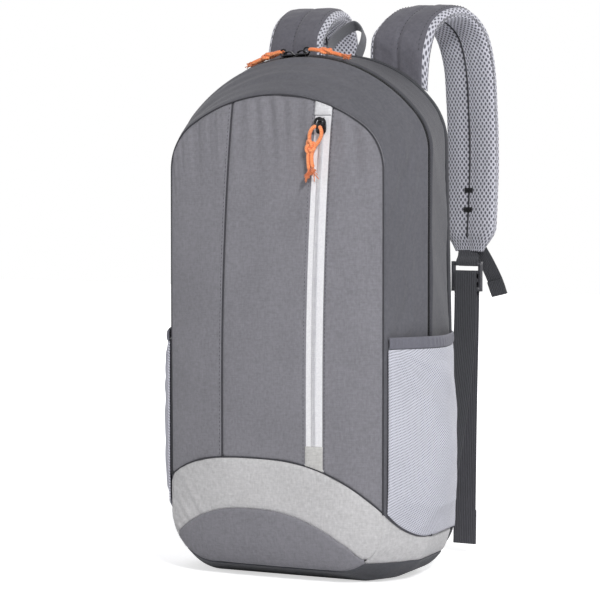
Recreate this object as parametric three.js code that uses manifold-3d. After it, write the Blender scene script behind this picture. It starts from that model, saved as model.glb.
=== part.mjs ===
// A 10-litre daypack standing on its base, in millimetres. -Y is the front panel, +Y the side
// that lies on the wearer's back, +X the wearer's right and +Z up. The origin is on the flat
// underside of the base, below the middle of the bag.
import * as THREE from "three";
import { mergeVertices } from "three/addons/utils/BufferGeometryUtils.js";
import Module from "manifold-3d";

const wasm = await Module();
wasm.setup();

// ---------- Driving dimensions ----------
const cloth = 1.2; // shell fabric with its lining
const gap = 0.3; // between pieces that touch
const seatGap = 0.7; // between a strap's root and the seam that it is sewn into

// Three outlines across the bag, each a crown arc, two shoulder arcs, straight sides and two
// bottom corners. The bag's wall runs through them from the back to the front.
const backSeam = { y: 66, half: 92, top: 402, crown: 105, shoulder: 52, corner: 38, flare: 8 };
const zipLine = { y: 4, half: 110, top: 401, crown: 132, shoulder: 44, corner: 40, flare: 0 };
const frontSeam = { y: -39.5, half: 94, top: 371, crown: 135, shoulder: 42, corner: 40, flare: 0 };
const floorBack = 56; // the underside is flat from here
const floorFront = -16; // to here
const backRise = 8; // height of the back seam's lower edge
const frontRise = 9; // height of the front seam's lower edge

const belly = 18; // how far the front panel stands out
const bellyHeight = 150; // where it stands out most
const toeHeight = 60; // the front rolls under below this, above the seam

const seamX = -38; // stitched seam down the left of the front panel
const frontZipX = 42.5;
const tapeWidth = 13; // visible tape of the front zip
const foldHeight = 338; // the flap folds here when the main zip is open
const zipFoot = 60; // lower end of the main zip
const baseEdge = 16; // upper edge of the base panel at the sides
const bandCrest = -12; // the light band's crest lies a little to the left
const bandHigh = 94;
const bandLow = 55;
const toeHigh = 55;
const toeLow = 20;
const toeHalf = 76;

const pocketTop = 188;
const bindingHeight = 9;
const pocketBulge = 14;
const mesh = 1;

const strapWidth = 50;
const strapFoam = 10;
const strapCover = 1.2;
const webWidth = 20;
const webThick = 1.4;
const haulWidth = 10;
const cordRadius = 1.5;

// ---------- Solids from grids and booleans ----------
// A closed geometry from triangles, turned to face out.
function closed(positions, index) {
  let volume = 0;
  const [a, b, c] = [new THREE.Vector3(), new THREE.Vector3(), new THREE.Vector3()];
  for (let i = 0; i < index.length; i += 3) {
    [a, b, c].forEach((v, k) => v.fromArray(positions, 3 * index[i + k]));
    volume += a.dot(b.cross(c));
  }
  if (volume < 0) index.reverse();
  const geometry = new THREE.BufferGeometry();
  geometry.setAttribute("position", new THREE.Float32BufferAttribute(positions, 3));
  geometry.setIndex(index);
  return geometry;
}

// The solid between two grids of points with the same rows and columns.
function between(outer, inner) {
  const rows = outer.length;
  const columns = outer[0].length;
  const positions = [...outer, ...inner].flat().flatMap((p) => p.toArray());
  const at = (layer, i, j) => (layer * rows + i) * columns + j;
  const index = [];
  const quad = (p, q, r, s) => index.push(p, q, r, p, r, s);
  const lastRow = rows - 1;
  const lastColumn = columns - 1;
  for (let i = 0; i < lastRow; i++) {
    for (let j = 0; j < lastColumn; j++) {
      quad(at(0, i, j), at(0, i + 1, j), at(0, i + 1, j + 1), at(0, i, j + 1));
      quad(at(1, i, j), at(1, i, j + 1), at(1, i + 1, j + 1), at(1, i + 1, j));
    }
    quad(at(0, i, 0), at(1, i, 0), at(1, i + 1, 0), at(0, i + 1, 0));
    const near = at(0, i, lastColumn);
    const far = at(1, i, lastColumn);
    quad(near, near + columns, far + columns, far);
  }
  for (let j = 0; j < lastColumn; j++) {
    quad(at(0, 0, j), at(0, 0, j + 1), at(1, 0, j + 1), at(1, 0, j));
    const near = at(0, lastRow, j);
    const far = at(1, lastRow, j);
    quad(near, far, far + 1, near + 1);
  }
  return closed(positions, index);
}

function solid(geometry) {
  const bare = geometry.clone();
  bare.deleteAttribute("normal");
  bare.deleteAttribute("uv");
  const merged = mergeVertices(bare, 1e-4);
  return new wasm.Manifold(
    new wasm.Mesh({
      numProp: 3,
      vertProperties: new Float32Array(merged.attributes.position.array),
      triVerts: new Uint32Array(merged.index.array),
    }),
  );
}

function geometryOf(body) {
  const { vertProperties, triVerts } = body.getMesh();
  return closed(Array.from(vertProperties), Array.from(triVerts));
}

const joined = (...parts) => geometryOf(parts.map(solid).reduce((a, b) => a.add(b)));
const cut = (from, ...tools) =>
  geometryOf(tools.reduce((a, tool) => a.subtract(solid(tool)), solid(from)));

function block(width, depth, height, x, y, z) {
  return new THREE.BoxGeometry(width, depth, height).translate(x, y, z);
}

// Evenly spaced values from a to b.
const steps = (a, b, n) => Array.from({ length: n + 1 }, (_, i) => a + ((b - a) * i) / (n || 1));
const point = (x, y, z) => new THREE.Vector3(x, y, z);

// ---------- The wall's outlines ----------
function floorAt(y) {
  if (y > floorBack) return (backRise * (y - floorBack)) / (backSeam.y - floorBack);
  if (y < floorFront) return (frontRise * (floorFront - y)) / (floorFront - frontSeam.y);
  return 0;
}

// The other leg of a right triangle, or 0 where the first is longer than the radius.
const leg = (radius, first) => Math.sqrt(Math.max(radius ** 2 - first ** 2, 0));

// The outline at depth y, drawn in by inset, with its half width at any height.
function outlineAt(y, inset = 0) {
  const [from, to] = y > zipLine.y ? [zipLine, backSeam] : [zipLine, frontSeam];
  const share = Math.min((y - from.y) / (to.y - from.y), 1);
  const mix = (key) => from[key] + (to[key] - from[key]) * share;
  const crown = mix("crown") - inset;
  const shoulder = mix("shoulder") - inset;
  const corner = mix("corner") - inset;
  const half = mix("half") - inset;
  const top = mix("top") - inset;
  const flare = mix("flare");
  const floor = floorAt(Math.min(y, backSeam.y)) + inset;
  const sine = (half - shoulder) / (crown - shoulder);
  const cosine = Math.sqrt(1 - sine * sine);
  const centre = top - crown;
  const spring = centre + (crown - shoulder) * cosine;
  const join = centre + crown * cosine;
  const width = (z) => {
    if (z >= join) return leg(crown, z - centre);
    if (z > spring) return half - shoulder + leg(shoulder, z - spring);
    const lean = (flare * (spring - z)) / (spring - floor);
    if (z >= floor + corner) return half + lean;
    const rise = Math.min(floor + corner - z, corner);
    return half + lean - corner + leg(corner, rise);
  };
  return { crown, shoulder, corner, half, floor, sine, centre, spring, width };
}

// Points over the arch from height z on the +X side to height z on the -X side.
function archPath(y, inset, z, sideSteps) {
  const o = outlineAt(y, inset);
  const heights = steps(0, 1, sideSteps).map((f) => z + (o.spring - z) * f ** 2);
  const side = heights.map((h) => [o.width(h), h]);
  const first = Math.asin(Math.min(Math.max((z - o.spring) / o.shoulder, 0), 1));
  const shoulder = steps(first, Math.acos(o.sine), 5).map((a) => [
    o.half - o.shoulder + o.shoulder * Math.cos(a),
    o.spring + o.shoulder * Math.sin(a),
  ]);
  const crown = steps(Math.asin(o.sine), 0, 8).map((a) => [
    o.crown * Math.sin(a),
    o.centre + o.crown * Math.cos(a),
  ]);
  const right = [...(sideSteps ? side.slice(0, -1) : []), ...shoulder.slice(0, -1), ...crown];
  const left = right.slice(0, -1).reverse().map(([x, h]) => [-x, h]);
  return [...right, ...left].map(([x, h]) => point(x, y, h));
}

// Points under the base from height z on the +X side to height z on the -X side.
function basePath(y, inset, z) {
  const o = outlineAt(y, inset);
  const first = Math.asin(Math.min(Math.max((o.floor + o.corner - z) / o.corner, 0), 1));
  const right = steps(first, Math.PI / 2, 5).map((a) => {
    const h = o.floor + o.corner * (1 - Math.sin(a));
    return [o.width(h), h];
  });
  const flat = right[right.length - 1][0];
  const middle = steps(flat, -flat, 4).slice(1, -1).map((x) => [x, o.floor]);
  const left = [...right].reverse().map(([x, h]) => [-x, h]);
  return [...right, ...middle, ...left].map(([x, h]) => point(x, y, h));
}

// The whole closed outline as a flat shape, for a plate that closes the back.
function plate(y, depth, inset) {
  const path = [...archPath(backSeam.y, inset, 60, 2), ...basePath(backSeam.y, inset, 30).reverse()];
  const shape = new THREE.Shape(path.map((p) => new THREE.Vector2(p.x, p.z)));
  const geometry = new THREE.ExtrudeGeometry(shape, { depth, bevelEnabled: false });
  return geometry.rotateX(Math.PI / 2).translate(0, y + depth, 0);
}

// A strip of wall that runs over the arch, from depth to depth and from inset to inset.
function archWall(depths, foot, sideSteps, outer, inner) {
  const grid = (inset) => depths.map((y) => archPath(y, inset, foot(y), sideSteps));
  return between(grid(outer), grid(inner));
}

// A patch of one side wall, with its outer and inner faces drawn in by two functions of (y, s),
// where s runs from 0 at the lower edge to 1 at the upper edge.
function sidePatch(side, depths, low, high, count, outer, inner) {
  const grid = (inset) =>
    depths.map((y) =>
      steps(0, 1, count).map((s) => {
        const z = low(y) + (high(y) - low(y)) * s;
        return point(side * (outlineAt(y).width(z) - inset(y, s)), y, z);
      }),
    );
  return between(grid(outer), grid(inner));
}

// ---------- The front surface ----------
const frontOutline = outlineAt(frontSeam.y);
const rim = cloth + gap; // the front pieces stop inside the wall's edge

function bellyAt(z) {
  const rise = Math.max(z - bellyHeight, 0) / (frontSeam.top - bellyHeight);
  const under = 1 - Math.min(Math.max(z - frontRise, 0) / toeHeight, 1);
  return belly * (1 - rise ** 2) * Math.sqrt(1 - under ** 2);
}

function frontY(x, z) {
  const share = Math.min(Math.abs(x) / Math.max(frontOutline.width(z), 1), 1);
  return frontSeam.y - bellyAt(z) * (1 - share ** 3);
}

// The front outline's upper and lower edge above a place x.
function frontTop(x) {
  const o = outlineAt(frontSeam.y, rim);
  const reach = Math.abs(x);
  if (reach <= o.crown * o.sine) return o.centre + leg(o.crown, reach);
  return o.spring + leg(o.shoulder, reach - o.half + o.shoulder);
}

function frontFloor(x) {
  const o = outlineAt(frontSeam.y, rim);
  const reach = Math.max(Math.abs(x) - o.half + o.corner, 0);
  return o.floor + o.corner - leg(o.corner, reach);
}

const bandTop = (x) =>
  bandHigh - (bandHigh - bandLow) * (Math.abs(x - bandCrest) / (frontSeam.half - bandCrest)) ** 2.8;
const toeTop = (x) =>
  toeLow + (toeHigh - toeLow) * (1 - Math.min(Math.abs(x - bandCrest) / (toeHalf - bandCrest), 1) ** 2.4);

// The band's upper edge along a side wall dips to its lowest under the middle of the pocket.
function sideBandTop(side, y) {
  const low = 34.5;
  const ahead = Math.max(zipLine.y - y, 0) / (zipLine.y - frontSeam.y);
  return low + (bandTop(side * frontSeam.half) - low) * ahead ** 2;
}

// A patch of the front between two places x and two edges, from depth to depth behind the face.
function frontPatch(places, low, high, count, outer, inner) {
  const grid = (behind) =>
    places.map((x) =>
      steps(low(x), high(x), count).map((z) => point(x, frontY(x, z) + behind, z)),
    );
  return between(grid(outer), grid(inner));
}

// ---------- Ribbons and cords ----------
// A flat band along a smooth curve. lie gives the direction across it at each share of its length.
function ribbon(points, width, low, high, lie, count = 14) {
  const curve = new THREE.CatmullRomCurve3(points, false, "centripetal");
  const frame = (t) => {
    const along = curve.getTangentAt(t);
    const across = lie(t).clone();
    across.addScaledVector(along, -across.dot(along)).normalize();
    return { at: curve.getPointAt(t), across, out: new THREE.Vector3().crossVectors(across, along) };
  };
  const grid = (height) =>
    steps(0, 1, count).map((t) => {
      const { at, across, out } = frame(t);
      const reach = (typeof width === "function" ? width(t) : width) / 2;
      return [-reach, 0, reach].map((s) =>
        at.clone().addScaledVector(across, s).addScaledVector(out, height),
      );
    });
  return between(grid(high), grid(low));
}

function cord(points, radius, count = 10) {
  const section = new THREE.Shape(
    steps(0, 1, 8).slice(0, -1).map((s) => {
      const a = 2 * Math.PI * s;
      return new THREE.Vector2(radius * Math.cos(a), radius * Math.sin(a));
    }),
  );
  const extrudePath = new THREE.CatmullRomCurve3(points);
  return new THREE.ExtrudeGeometry(section, { steps: count, extrudePath, bevelEnabled: false });
}

// ---------- Materials and the assembly ----------
const paint = (color, roughness, metalness = 0) =>
  new THREE.MeshStandardMaterial({ color, roughness, metalness });
const greyCloth = paint(0x6f6f73, 0.85);
const darkCloth = paint(0x56575c, 0.85);
const charcoal = paint(0x45464b, 0.8);
const paleCloth = paint(0xb4b3af, 0.85);
const whiteTape = paint(0xd8d6de, 0.8);
const meshCloth = paint(0xcfcfd6, 0.9);
const foam = paint(0x8d8d92, 0.95);
const webbing = paint(0x4a4b50, 0.7);
const coilNylon = paint(0x2c2c30, 0.5);
const orangeCord = paint(0xf07a3a, 0.8);
const blackMetal = paint(0x1d1d20, 0.4, 0.6);
const buckleNylon = paint(0x3a3c42, 0.5);

const daypack = new THREE.Group();
function add(name, geometry, material) {
  const part = new THREE.Mesh(geometry, material);
  part.name = name;
  daypack.add(part);
  return part;
}

const sides = [
  ["left", -1],
  ["right", 1],
];
const wallOuter = () => 0;
const wallInner = () => cloth;
const half = gap / 2;
const belowFold = () => foldHeight - half;
const aboveFold = () => foldHeight + half;

// ---------- Wall: gussets, side bands and base ----------
const seamY = cloth + 0.2; // the cloth edges stop this far from the zip's centre line
const frontDepths = steps(frontSeam.y, zipLine.y - seamY, 3);
const rearDepths = steps(zipLine.y + seamY, backSeam.y, 4);
const sideDepths = [...frontDepths, ...rearDepths];

add(
  "rear_gusset",
  archWall(rearDepths, () => sideBandTop(1, backSeam.y) + gap, 4, 0, cloth),
  charcoal,
);
add("front_gusset_top", archWall(frontDepths, aboveFold, 0, 0, cloth), darkCloth);
for (const [name, side] of sides) {
  const above = (y) => sideBandTop(side, y) + half;
  const below = (y) => sideBandTop(side, y) - half;
  const gusset = sidePatch(side, frontDepths, above, belowFold, 12, wallOuter, wallInner);
  add(`front_gusset_${name}`, gusset, darkCloth);
  const band = sidePatch(side, sideDepths, () => baseEdge + half, below, 4, wallOuter, wallInner);
  add(`side_band_${name}`, band, paleCloth);
}
const frontOfBase = steps(frontSeam.y, floorFront, 2);
const baseDepths = [...frontOfBase, ...steps(zipLine.y, floorBack, 2), backSeam.y];
const baseGrid = (inset) => baseDepths.map((y) => basePath(y, inset, baseEdge - half));
add("base_panel", between(baseGrid(0), baseGrid(cloth)), charcoal);

// ---------- Front: pale band, toe and three panel strips ----------
const reach = frontSeam.half - rim;
const foldReach = outlineAt(frontSeam.y, rim).width(foldHeight) - 2;
const face = [0, cloth];
const bandFloor = (x) => Math.max(toeTop(x) + half, frontFloor(x));
const bandEdge = (x) => bandTop(x) - half;
add("light_band", frontPatch(steps(-reach, reach, 20), bandFloor, bandEdge, 4, ...face), paleCloth);
const toeReach = toeHalf - 2;
const toeEdge = (x) => toeTop(x) - half;
add("toe_panel", frontPatch(steps(-toeReach, toeReach, 14), frontFloor, toeEdge, 6, ...face), greyCloth);

const panelLow = (x) => bandTop(x) + half;
const panelHigh = (x) => Math.min(foldHeight - half, frontTop(x));
const slotHalf = tapeWidth / 2;
const strips = {
  left: steps(-reach, seamX - half, 6),
  centre: steps(seamX + half, frontZipX - slotHalf - gap, 6),
  right: steps(frontZipX + slotHalf + gap, reach, 5),
};
for (const [name, places] of Object.entries(strips))
  add(`front_panel_${name}`, frontPatch(places, panelLow, panelHigh, 10, ...face), greyCloth);

const endPatchTop = 365;
const tapeHead = 354;
const flapFace = frontPatch(steps(-foldReach, foldReach, 20), aboveFold, frontTop, 5, ...face);
const slotHeight = 60; // deep enough to reach past the fold
const slotMiddle = tapeHead + gap - slotHeight / 2;
const slot = block(tapeWidth + 2 * gap, 2 * belly, slotHeight, frontZipX, frontSeam.y, slotMiddle);
add("front_panel_top", cut(flapFace, slot), greyCloth);

// ---------- Front pocket: lining, zip tape, coil, end patches, slider and pull ----------
const liningReach = reach - 16;
const liningHigh = (x) => Math.min(foldHeight - 2, frontTop(x) - 4);
const lining = [cloth + gap, cloth + gap + 0.8];
add(
  "front_pocket_lining",
  frontPatch(steps(-liningReach, liningReach, 14), (x) => bandTop(x) + 2, liningHigh, 8, ...lining),
  foam,
);
const zipPlaces = (width) => steps(frontZipX - width / 2, frontZipX + width / 2, 2);
const tapeLow = (x) => bandTop(x) + 1;
const tapeLayer = [0.5, 1.1];
const coilLayer = [-0.6, 0.2];
const coilWidth = 3;
const tapes = zipPlaces(tapeWidth);
add("front_zip_tape", frontPatch(tapes, tapeLow, belowFold, 12, ...tapeLayer), whiteTape);
add("front_zip_tape_top", frontPatch(tapes, aboveFold, () => tapeHead, 3, ...tapeLayer), whiteTape);
const coils = zipPlaces(coilWidth);
const coilFoot = (x) => tapeLow(x) + 18;
const coilHead = () => tapeHead - 1;
add("front_zip_coil", frontPatch(coils, coilFoot, belowFold, 12, ...coilLayer), whiteTape);
add("front_zip_coil_top", frontPatch(coils, aboveFold, coilHead, 3, ...coilLayer), whiteTape);
const patchLayer = [-1, -gap];
const patches = zipPlaces(tapeWidth + 3);
const footPatch = frontPatch(patches, tapeLow, (x) => coilFoot(x) - 0.5, 3, ...patchLayer);
add("front_zip_end_bottom", footPatch, paleCloth);
const headLow = () => tapeHead + 2;
const headHigh = () => endPatchTop;
add("front_zip_end_top", frontPatch(patches, headLow, headHigh, 3, ...patchLayer), whiteTape);

const sliderZ = 346;
const sliderY = frontY(frontZipX, sliderZ) + coilLayer[0] - gap;
const sliderTilt = Math.atan2(frontY(frontZipX, sliderZ + 6) - frontY(frontZipX, sliderZ - 6), 12);
function sliderBody(width, length) {
  const body = block(width, 1.6, length, 0, -0.8, 0);
  const bridge = block(width / 3, 1.6, length * 0.7, 0, -3.4, 0);
  const posts = [1, -1].map((s) => block(width / 3, 2, 2, 0, -2.2, s * (length * 0.35 - 1)));
  return joined(body, bridge, ...posts);
}
const frontSlider = sliderBody(8, 12).rotateX(-sliderTilt).translate(frontZipX, sliderY, sliderZ);
add("front_zip_slider", frontSlider, blackMetal);

// The front pull hangs from the slider's bridge: a loop, a knot and a frayed tail.
const hang = (dx, down) => point(frontZipX + dx, frontY(frontZipX, sliderZ - down) - 7.5, sliderZ - down);
const frontPull = joined(
  cord([hang(0, 1), hang(-2.5, 9), hang(-3, 19)], cordRadius * 1.3),
  new THREE.SphereGeometry(4.4, 10, 8).scale(1, 0.7, 1.2).translate(...hang(-3.5, 22).toArray()),
  cord([hang(-4, 23), hang(-3.5, 33), hang(-3, 43)], cordRadius * 1.5),
);
add("front_pull", frontPull, orangeCord);

// ---------- Main zip over the arch: tapes, coils, sliders and pulls ----------
const tapeInset = [cloth + gap, cloth + gap + 0.8];
const coilInset = [0.6, 2.2];
const zipEdge = { tape: seamY + 10, coilOut: 1.1 };
const rearTapeDepths = steps(zipLine.y + seamY, zipLine.y + zipEdge.tape, 1);
const frontTapeDepths = steps(zipLine.y - zipEdge.tape, zipLine.y - seamY, 1);
const rearCoilDepths = steps(zipLine.y + half, zipLine.y + zipEdge.coilOut, 1);
const frontCoilDepths = steps(zipLine.y - zipEdge.coilOut, zipLine.y - half, 1);
const foot = () => zipFoot;
add("main_zip_tape_rear", archWall(rearTapeDepths, foot, 3, ...tapeInset), webbing);
add("main_zip_coil_rear", archWall(rearCoilDepths, foot, 3, ...coilInset), coilNylon);
add("main_zip_tape_front", archWall(frontTapeDepths, aboveFold, 0, ...tapeInset), webbing);
add("main_zip_coil_front", archWall(frontCoilDepths, aboveFold, 0, ...coilInset), coilNylon);
for (const [name, side] of sides) {
  const lower = (depths, layer) =>
    sidePatch(side, depths, foot, belowFold, 8, () => layer[0], () => layer[1]);
  add(`main_zip_tape_${name}`, lower(frontTapeDepths, tapeInset), webbing);
  add(`main_zip_coil_${name}`, lower(frontCoilDepths, coilInset), coilNylon);
}

// The sliders run on the crown arc and meet a little to the left of its top.
const zipCentre = zipLine.top - zipLine.crown;
const meetAngle = THREE.MathUtils.degToRad(-3.5);
const mainLength = 11;
const sliderWidth = 7;
const sliderShift = 1.3; // its middle lies behind the zip's, clear of the flap's rising edge
for (const [name, side] of sides) {
  const angle = meetAngle + side * ((mainLength / 2 + 0.6) / zipLine.crown);
  const keel = block(mainLength * 0.8, 0.8, 1.6, 0, -sliderShift / 2, -0.6); // runs on the rear coil
  const upright = sliderBody(sliderWidth, mainLength).rotateX(-Math.PI / 2).rotateZ(-Math.PI / 2);
  const slider = joined(upright, keel);
  const radius = zipLine.crown + 1.1;
  slider.translate(0, sliderShift, radius).rotateY(angle).translate(0, zipLine.y, zipCentre);
  add(`main_slider_${name}`, slider, blackMetal);
  const out = (s, up, dy) => {
    const a = angle + (side * s) / zipLine.crown;
    const r = zipLine.crown + up;
    return point(r * Math.sin(a), zipLine.y + dy, zipCentre + r * Math.cos(a));
  };
  const pull = joined(
    cord([out(5.6, 5.4, sliderShift), out(14, 4.2, 3.4), out(22, 3.4, 4)], cordRadius * 1.3),
    new THREE.SphereGeometry(3.4, 10, 8).translate(...out(23, 4, 5).toArray()),
  );
  add(`main_pull_${name}`, pull, orangeCord);
}

// ---------- Back: lining, foam and outer cover ----------
const foamDepth = 5;
const liningY = backSeam.y - foamDepth - 2 * cloth;
add("back_lining", plate(liningY, 1, rim), webbing);
add("back_foam", plate(liningY + 1 + gap, foamDepth, rim), foam);
add("back_cover", plate(liningY + 1 + foamDepth + 2 * gap, 1.6, rim), meshCloth);

// ---------- Haul loop ----------
const loopHalf = 13;
const loopFoot = backSeam.y + 1.5;
const seamCentre = backSeam.top - backSeam.crown;
const loopBase = seamCentre + leg(backSeam.crown, loopHalf + haulWidth / 2) + 2 * gap;
const loopPoints = [
  point(loopHalf, loopFoot, loopBase),
  point(loopHalf + 1, loopFoot + 7, backSeam.top + 11),
  point(loopHalf - 4, loopFoot + 16, backSeam.top + 20),
  point(0, loopFoot + 20, backSeam.top + 25),
  point(-loopHalf + 4, loopFoot + 16, backSeam.top + 20),
  point(-loopHalf - 1, loopFoot + 7, backSeam.top + 11),
  point(-loopHalf, loopFoot, loopBase),
];
const haulLie = () => point(0, 0.72, 0.69).cross(point(1, 0, 0));
add("haul_loop", ribbon(loopPoints, haulWidth, -0.7, 0.7, haulLie, 16), webbing);

// ---------- Mesh side pockets and their bindings ----------
const pocketFront = frontSeam.y + 1;
const pocketBack = backSeam.y - 1;
const pocketRear = steps(zipLine.y, pocketBack, 5).slice(1);
const pocketDepths = [...steps(pocketFront, zipLine.y, 4), ...pocketRear];
const pocketFoot = 1;
function pocketStandoff(y, s) {
  const across = (y - pocketFront) / (pocketBack - pocketFront);
  const round = Math.max(Math.sin(Math.PI * across), 0) ** 0.7;
  const rise = Math.min(s / 0.15, 1) * (0.6 + 0.4 * Math.sin(Math.PI * s));
  return 2 * gap + pocketBulge * round * rise;
}
for (const [name, side] of sides) {
  const low = (y) => Math.min(sideBandTop(side, y), sideBandTop(1, y)) + pocketFoot;
  const high = () => pocketTop - bindingHeight - half;
  const sheet = sidePatch(
    side,
    pocketDepths,
    low,
    high,
    8,
    (y, s) => -pocketStandoff(y, s * 0.94) - mesh,
    (y, s) => -pocketStandoff(y, s * 0.94),
  );
  add(`mesh_pocket_${name}`, sheet, meshCloth);
  const binding = sidePatch(
    side,
    pocketDepths,
    () => pocketTop - bindingHeight + half,
    () => pocketTop,
    1,
    (y, s) => -pocketStandoff(y, 0.95 + 0.05 * s) - mesh - 0.5,
    (y, s) => -pocketStandoff(y, 0.95 + 0.05 * s),
  );
  add(`pocket_binding_${name}`, binding, charcoal);
}

// ---------- Shoulder straps, each with its webbing ----------
const rootY = backSeam.y + strapFoam / 2 + strapCover + 2 * gap;
const route = [
  [47, rootY, 372],
  [47, rootY, 396],
  [47.5, 76, 412],
  [49, 88, 426],
  [52, 108, 435],
  [56.5, 132, 435],
  [61, 151, 423],
  [64, 161, 400],
  [65.5, 165, 360],
  [66.5, 165.5, 320],
  [66.5, 163, 280],
  [66, 160, 246],
];
// A plain plug of the back's outline, a little larger, that trims the strap's root to the seam.
const archPlug = plate(backSeam.y - 40, 100, -seatGap);

const strapTwist = THREE.MathUtils.degToRad(13);
const [lockX, lockY, lockZ] = [66.5, 154.5, 226];
const lockThick = 4;
const lockBack = lockY + lockThick / 2 + gap + webThick / 2;
const lockFront = lockY - lockThick / 2 - gap - webThick / 2;
const anchorAt = [86, backSeam.y + 4.2, 66];
for (const [name, side] of sides) {
  const place = ([x, y, z]) => point(side * x, y, z);
  const lie = (t) => {
    const turn = strapTwist * THREE.MathUtils.smoothstep(t, 0.1, 0.5);
    return point(Math.cos(turn), -side * Math.sin(turn), 0);
  };
  const taper = (t) => strapWidth * (1 - 0.5 * THREE.MathUtils.smoothstep(t, 0.93, 1.02));
  const layer = (low, high) => cut(ribbon(route.map(place), taper, low, high, lie, 22), archPlug);
  const foamHalf = strapFoam / 2;
  add(`strap_foam_${name}`, layer(-foamHalf, foamHalf), foam);
  const outward = [foamHalf + gap, foamHalf + gap + strapCover];
  add(`strap_mesh_${name}`, layer(-outward[1], -outward[0]), meshCloth);
  add(`strap_cover_${name}`, layer(outward[0], outward[1]), darkCloth);

  // The tab is sewn to the strap's end and holds the ladder lock's upper bar.
  const across = () => point(1, 0, 0);
  const tab = [place([66, 160.2, 245.2]), place([66.3, 158.9, 239]), place([66.5, lockBack, 232])];
  add(`strap_tab_${name}`, ribbon(tab, webWidth - 2, -webThick / 2, webThick / 2, across, 4), webbing);
  const grab = [
    [69.5, 167.9, 250],
    [74, 174, 238],
    [79, 181, 222],
    [82, 184, 210],
  ].map(place);
  const webLayer = [-webThick / 2, webThick / 2];
  add(`grab_tab_${name}`, ribbon(grab, 14, ...webLayer, across, 8), webbing);

  const frameWidth = webWidth + 7;
  const slotWidth = webWidth + 1;
  const window = 3.4;
  const lock = cut(
    block(frameWidth, lockThick, 24, 0, 0, 0),
    block(slotWidth, 8, window, 0, 0, 6.6),
    block(slotWidth, 8, window, 0, 0, 0),
    block(slotWidth, 8, window, 0, 0, -6.6),
  );
  add(`ladder_lock_${name}`, lock.translate(side * lockX, lockY, lockZ), buckleNylon);

  // The adjuster runs from the lock down and forward to the back seam.
  const adjuster = [
    [lockX, lockFront, lockZ + 4],
    [lockX + 0.5, lockFront - 0.6, 208],
    [68.5, 146, 176],
    [72, 131, 138],
    [78, 106, 98],
    [84, 82, 73],
    anchorAt,
  ].map(place);
  add(`adjuster_${name}`, ribbon(adjuster, webWidth, ...webLayer, across, 8), webbing);
  const [anchorX, anchorY, anchorZ] = anchorAt;
  const stubTop = anchorZ - webThick - gap;
  const stub = [webWidth + 2, 3, 16];
  const patch = block(...stub, side * (anchorX + 1), anchorY - 1.2, stubTop - stub[2] / 2);
  add(`webbing_anchor_${name}`, patch, webbing);

  // The free end hangs from the lock, with its tip folded over and stitched.
  const tail = [
    [lockX, lockBack, lockZ + 3],
    [lockX - 0.8, lockBack + 0.3, lockZ - 40],
    [lockX - 2, lockBack + 0.2, lockZ - 110],
    [lockX - 3, lockBack - 0.5, 8],
  ].map(place);
  const tip = [tail[2].clone().lerp(tail[3], 0.86), tail[3].clone()];
  const tailSolid = joined(
    ribbon(tail, webWidth, ...webLayer, across, 8),
    ribbon(tip, webWidth, -webThick * 1.3, webThick / 2, across, 2),
  );
  add(`webbing_tail_${name}`, tailSolid, webbing);
}

export default daypack;
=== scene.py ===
"""A small grey daypack with a pale band, mesh side pockets and orange zip pulls, in metres."""

import bmesh
import bpy
import numpy as np
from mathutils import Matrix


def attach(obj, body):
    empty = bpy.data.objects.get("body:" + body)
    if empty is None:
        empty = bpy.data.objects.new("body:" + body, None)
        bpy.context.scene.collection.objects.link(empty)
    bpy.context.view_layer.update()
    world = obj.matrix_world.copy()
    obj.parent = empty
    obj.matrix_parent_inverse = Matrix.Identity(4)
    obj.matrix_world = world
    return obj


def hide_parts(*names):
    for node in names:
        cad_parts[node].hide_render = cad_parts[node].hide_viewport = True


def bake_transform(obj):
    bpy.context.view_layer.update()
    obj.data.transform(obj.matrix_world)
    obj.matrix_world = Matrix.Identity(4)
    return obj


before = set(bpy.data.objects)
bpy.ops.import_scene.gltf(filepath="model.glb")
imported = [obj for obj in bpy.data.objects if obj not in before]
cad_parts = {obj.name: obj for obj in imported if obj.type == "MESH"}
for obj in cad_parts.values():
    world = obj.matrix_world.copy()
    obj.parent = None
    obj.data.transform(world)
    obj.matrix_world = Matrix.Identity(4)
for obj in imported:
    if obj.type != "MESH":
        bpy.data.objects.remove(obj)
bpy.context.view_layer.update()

# --------------------
# Camera, lamps and floor. The camera looks at the bag from the front and its right, a little
# above the middle, from far enough away to flatten the perspective.
MM = 0.001
AZIMUTH = np.radians(29.7)
ELEVATION = np.radians(3.0)
DISTANCE = 2.22
AIM = np.array([-0.001, 0.0, 0.212])
LENS = 171.9
SENSOR = 36.0


def look_from(azimuth, elevation):
    """The unit vector from the object towards a viewer at that azimuth and elevation."""
    level = np.cos(elevation)
    return np.array([np.sin(azimuth) * level, -np.cos(azimuth) * level, np.sin(elevation)])


def aimed(obj, place, target):
    """Puts obj at place and turns its -Z axis towards target."""
    obj.location = place
    way = bpy.context.scene.cursor.location.copy()
    way[:] = np.subtract(target, place)
    obj.rotation_euler = way.to_track_quat("-Z", "Y").to_euler()
    bpy.context.collection.objects.link(obj)


camera = bpy.data.cameras.new("camera")
camera.lens = LENS
camera.sensor_width = SENSOR
camera_object = bpy.data.objects.new("camera", camera)
aimed(camera_object, AIM + DISTANCE * look_from(AZIMUTH, ELEVATION), AIM)
bpy.context.scene.camera = camera_object

LAMPS = {
    "key": {"at": (2.1, -2.1, 1.9), "power": 80.0, "size": 0.5},
    "fill": {"at": (-2.1, -1.6, 0.9), "power": 9.0, "size": 1.3},
    "back": {"at": (0.5, 1.9, 1.3), "power": 15.0, "size": 1.4},
}
for name, lamp in LAMPS.items():
    light = bpy.data.lights.new(name, "AREA")
    light.energy = lamp["power"]
    light.size = lamp["size"]
    aimed(bpy.data.objects.new(name, light), lamp["at"], (0, 0, 0.2))


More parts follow.
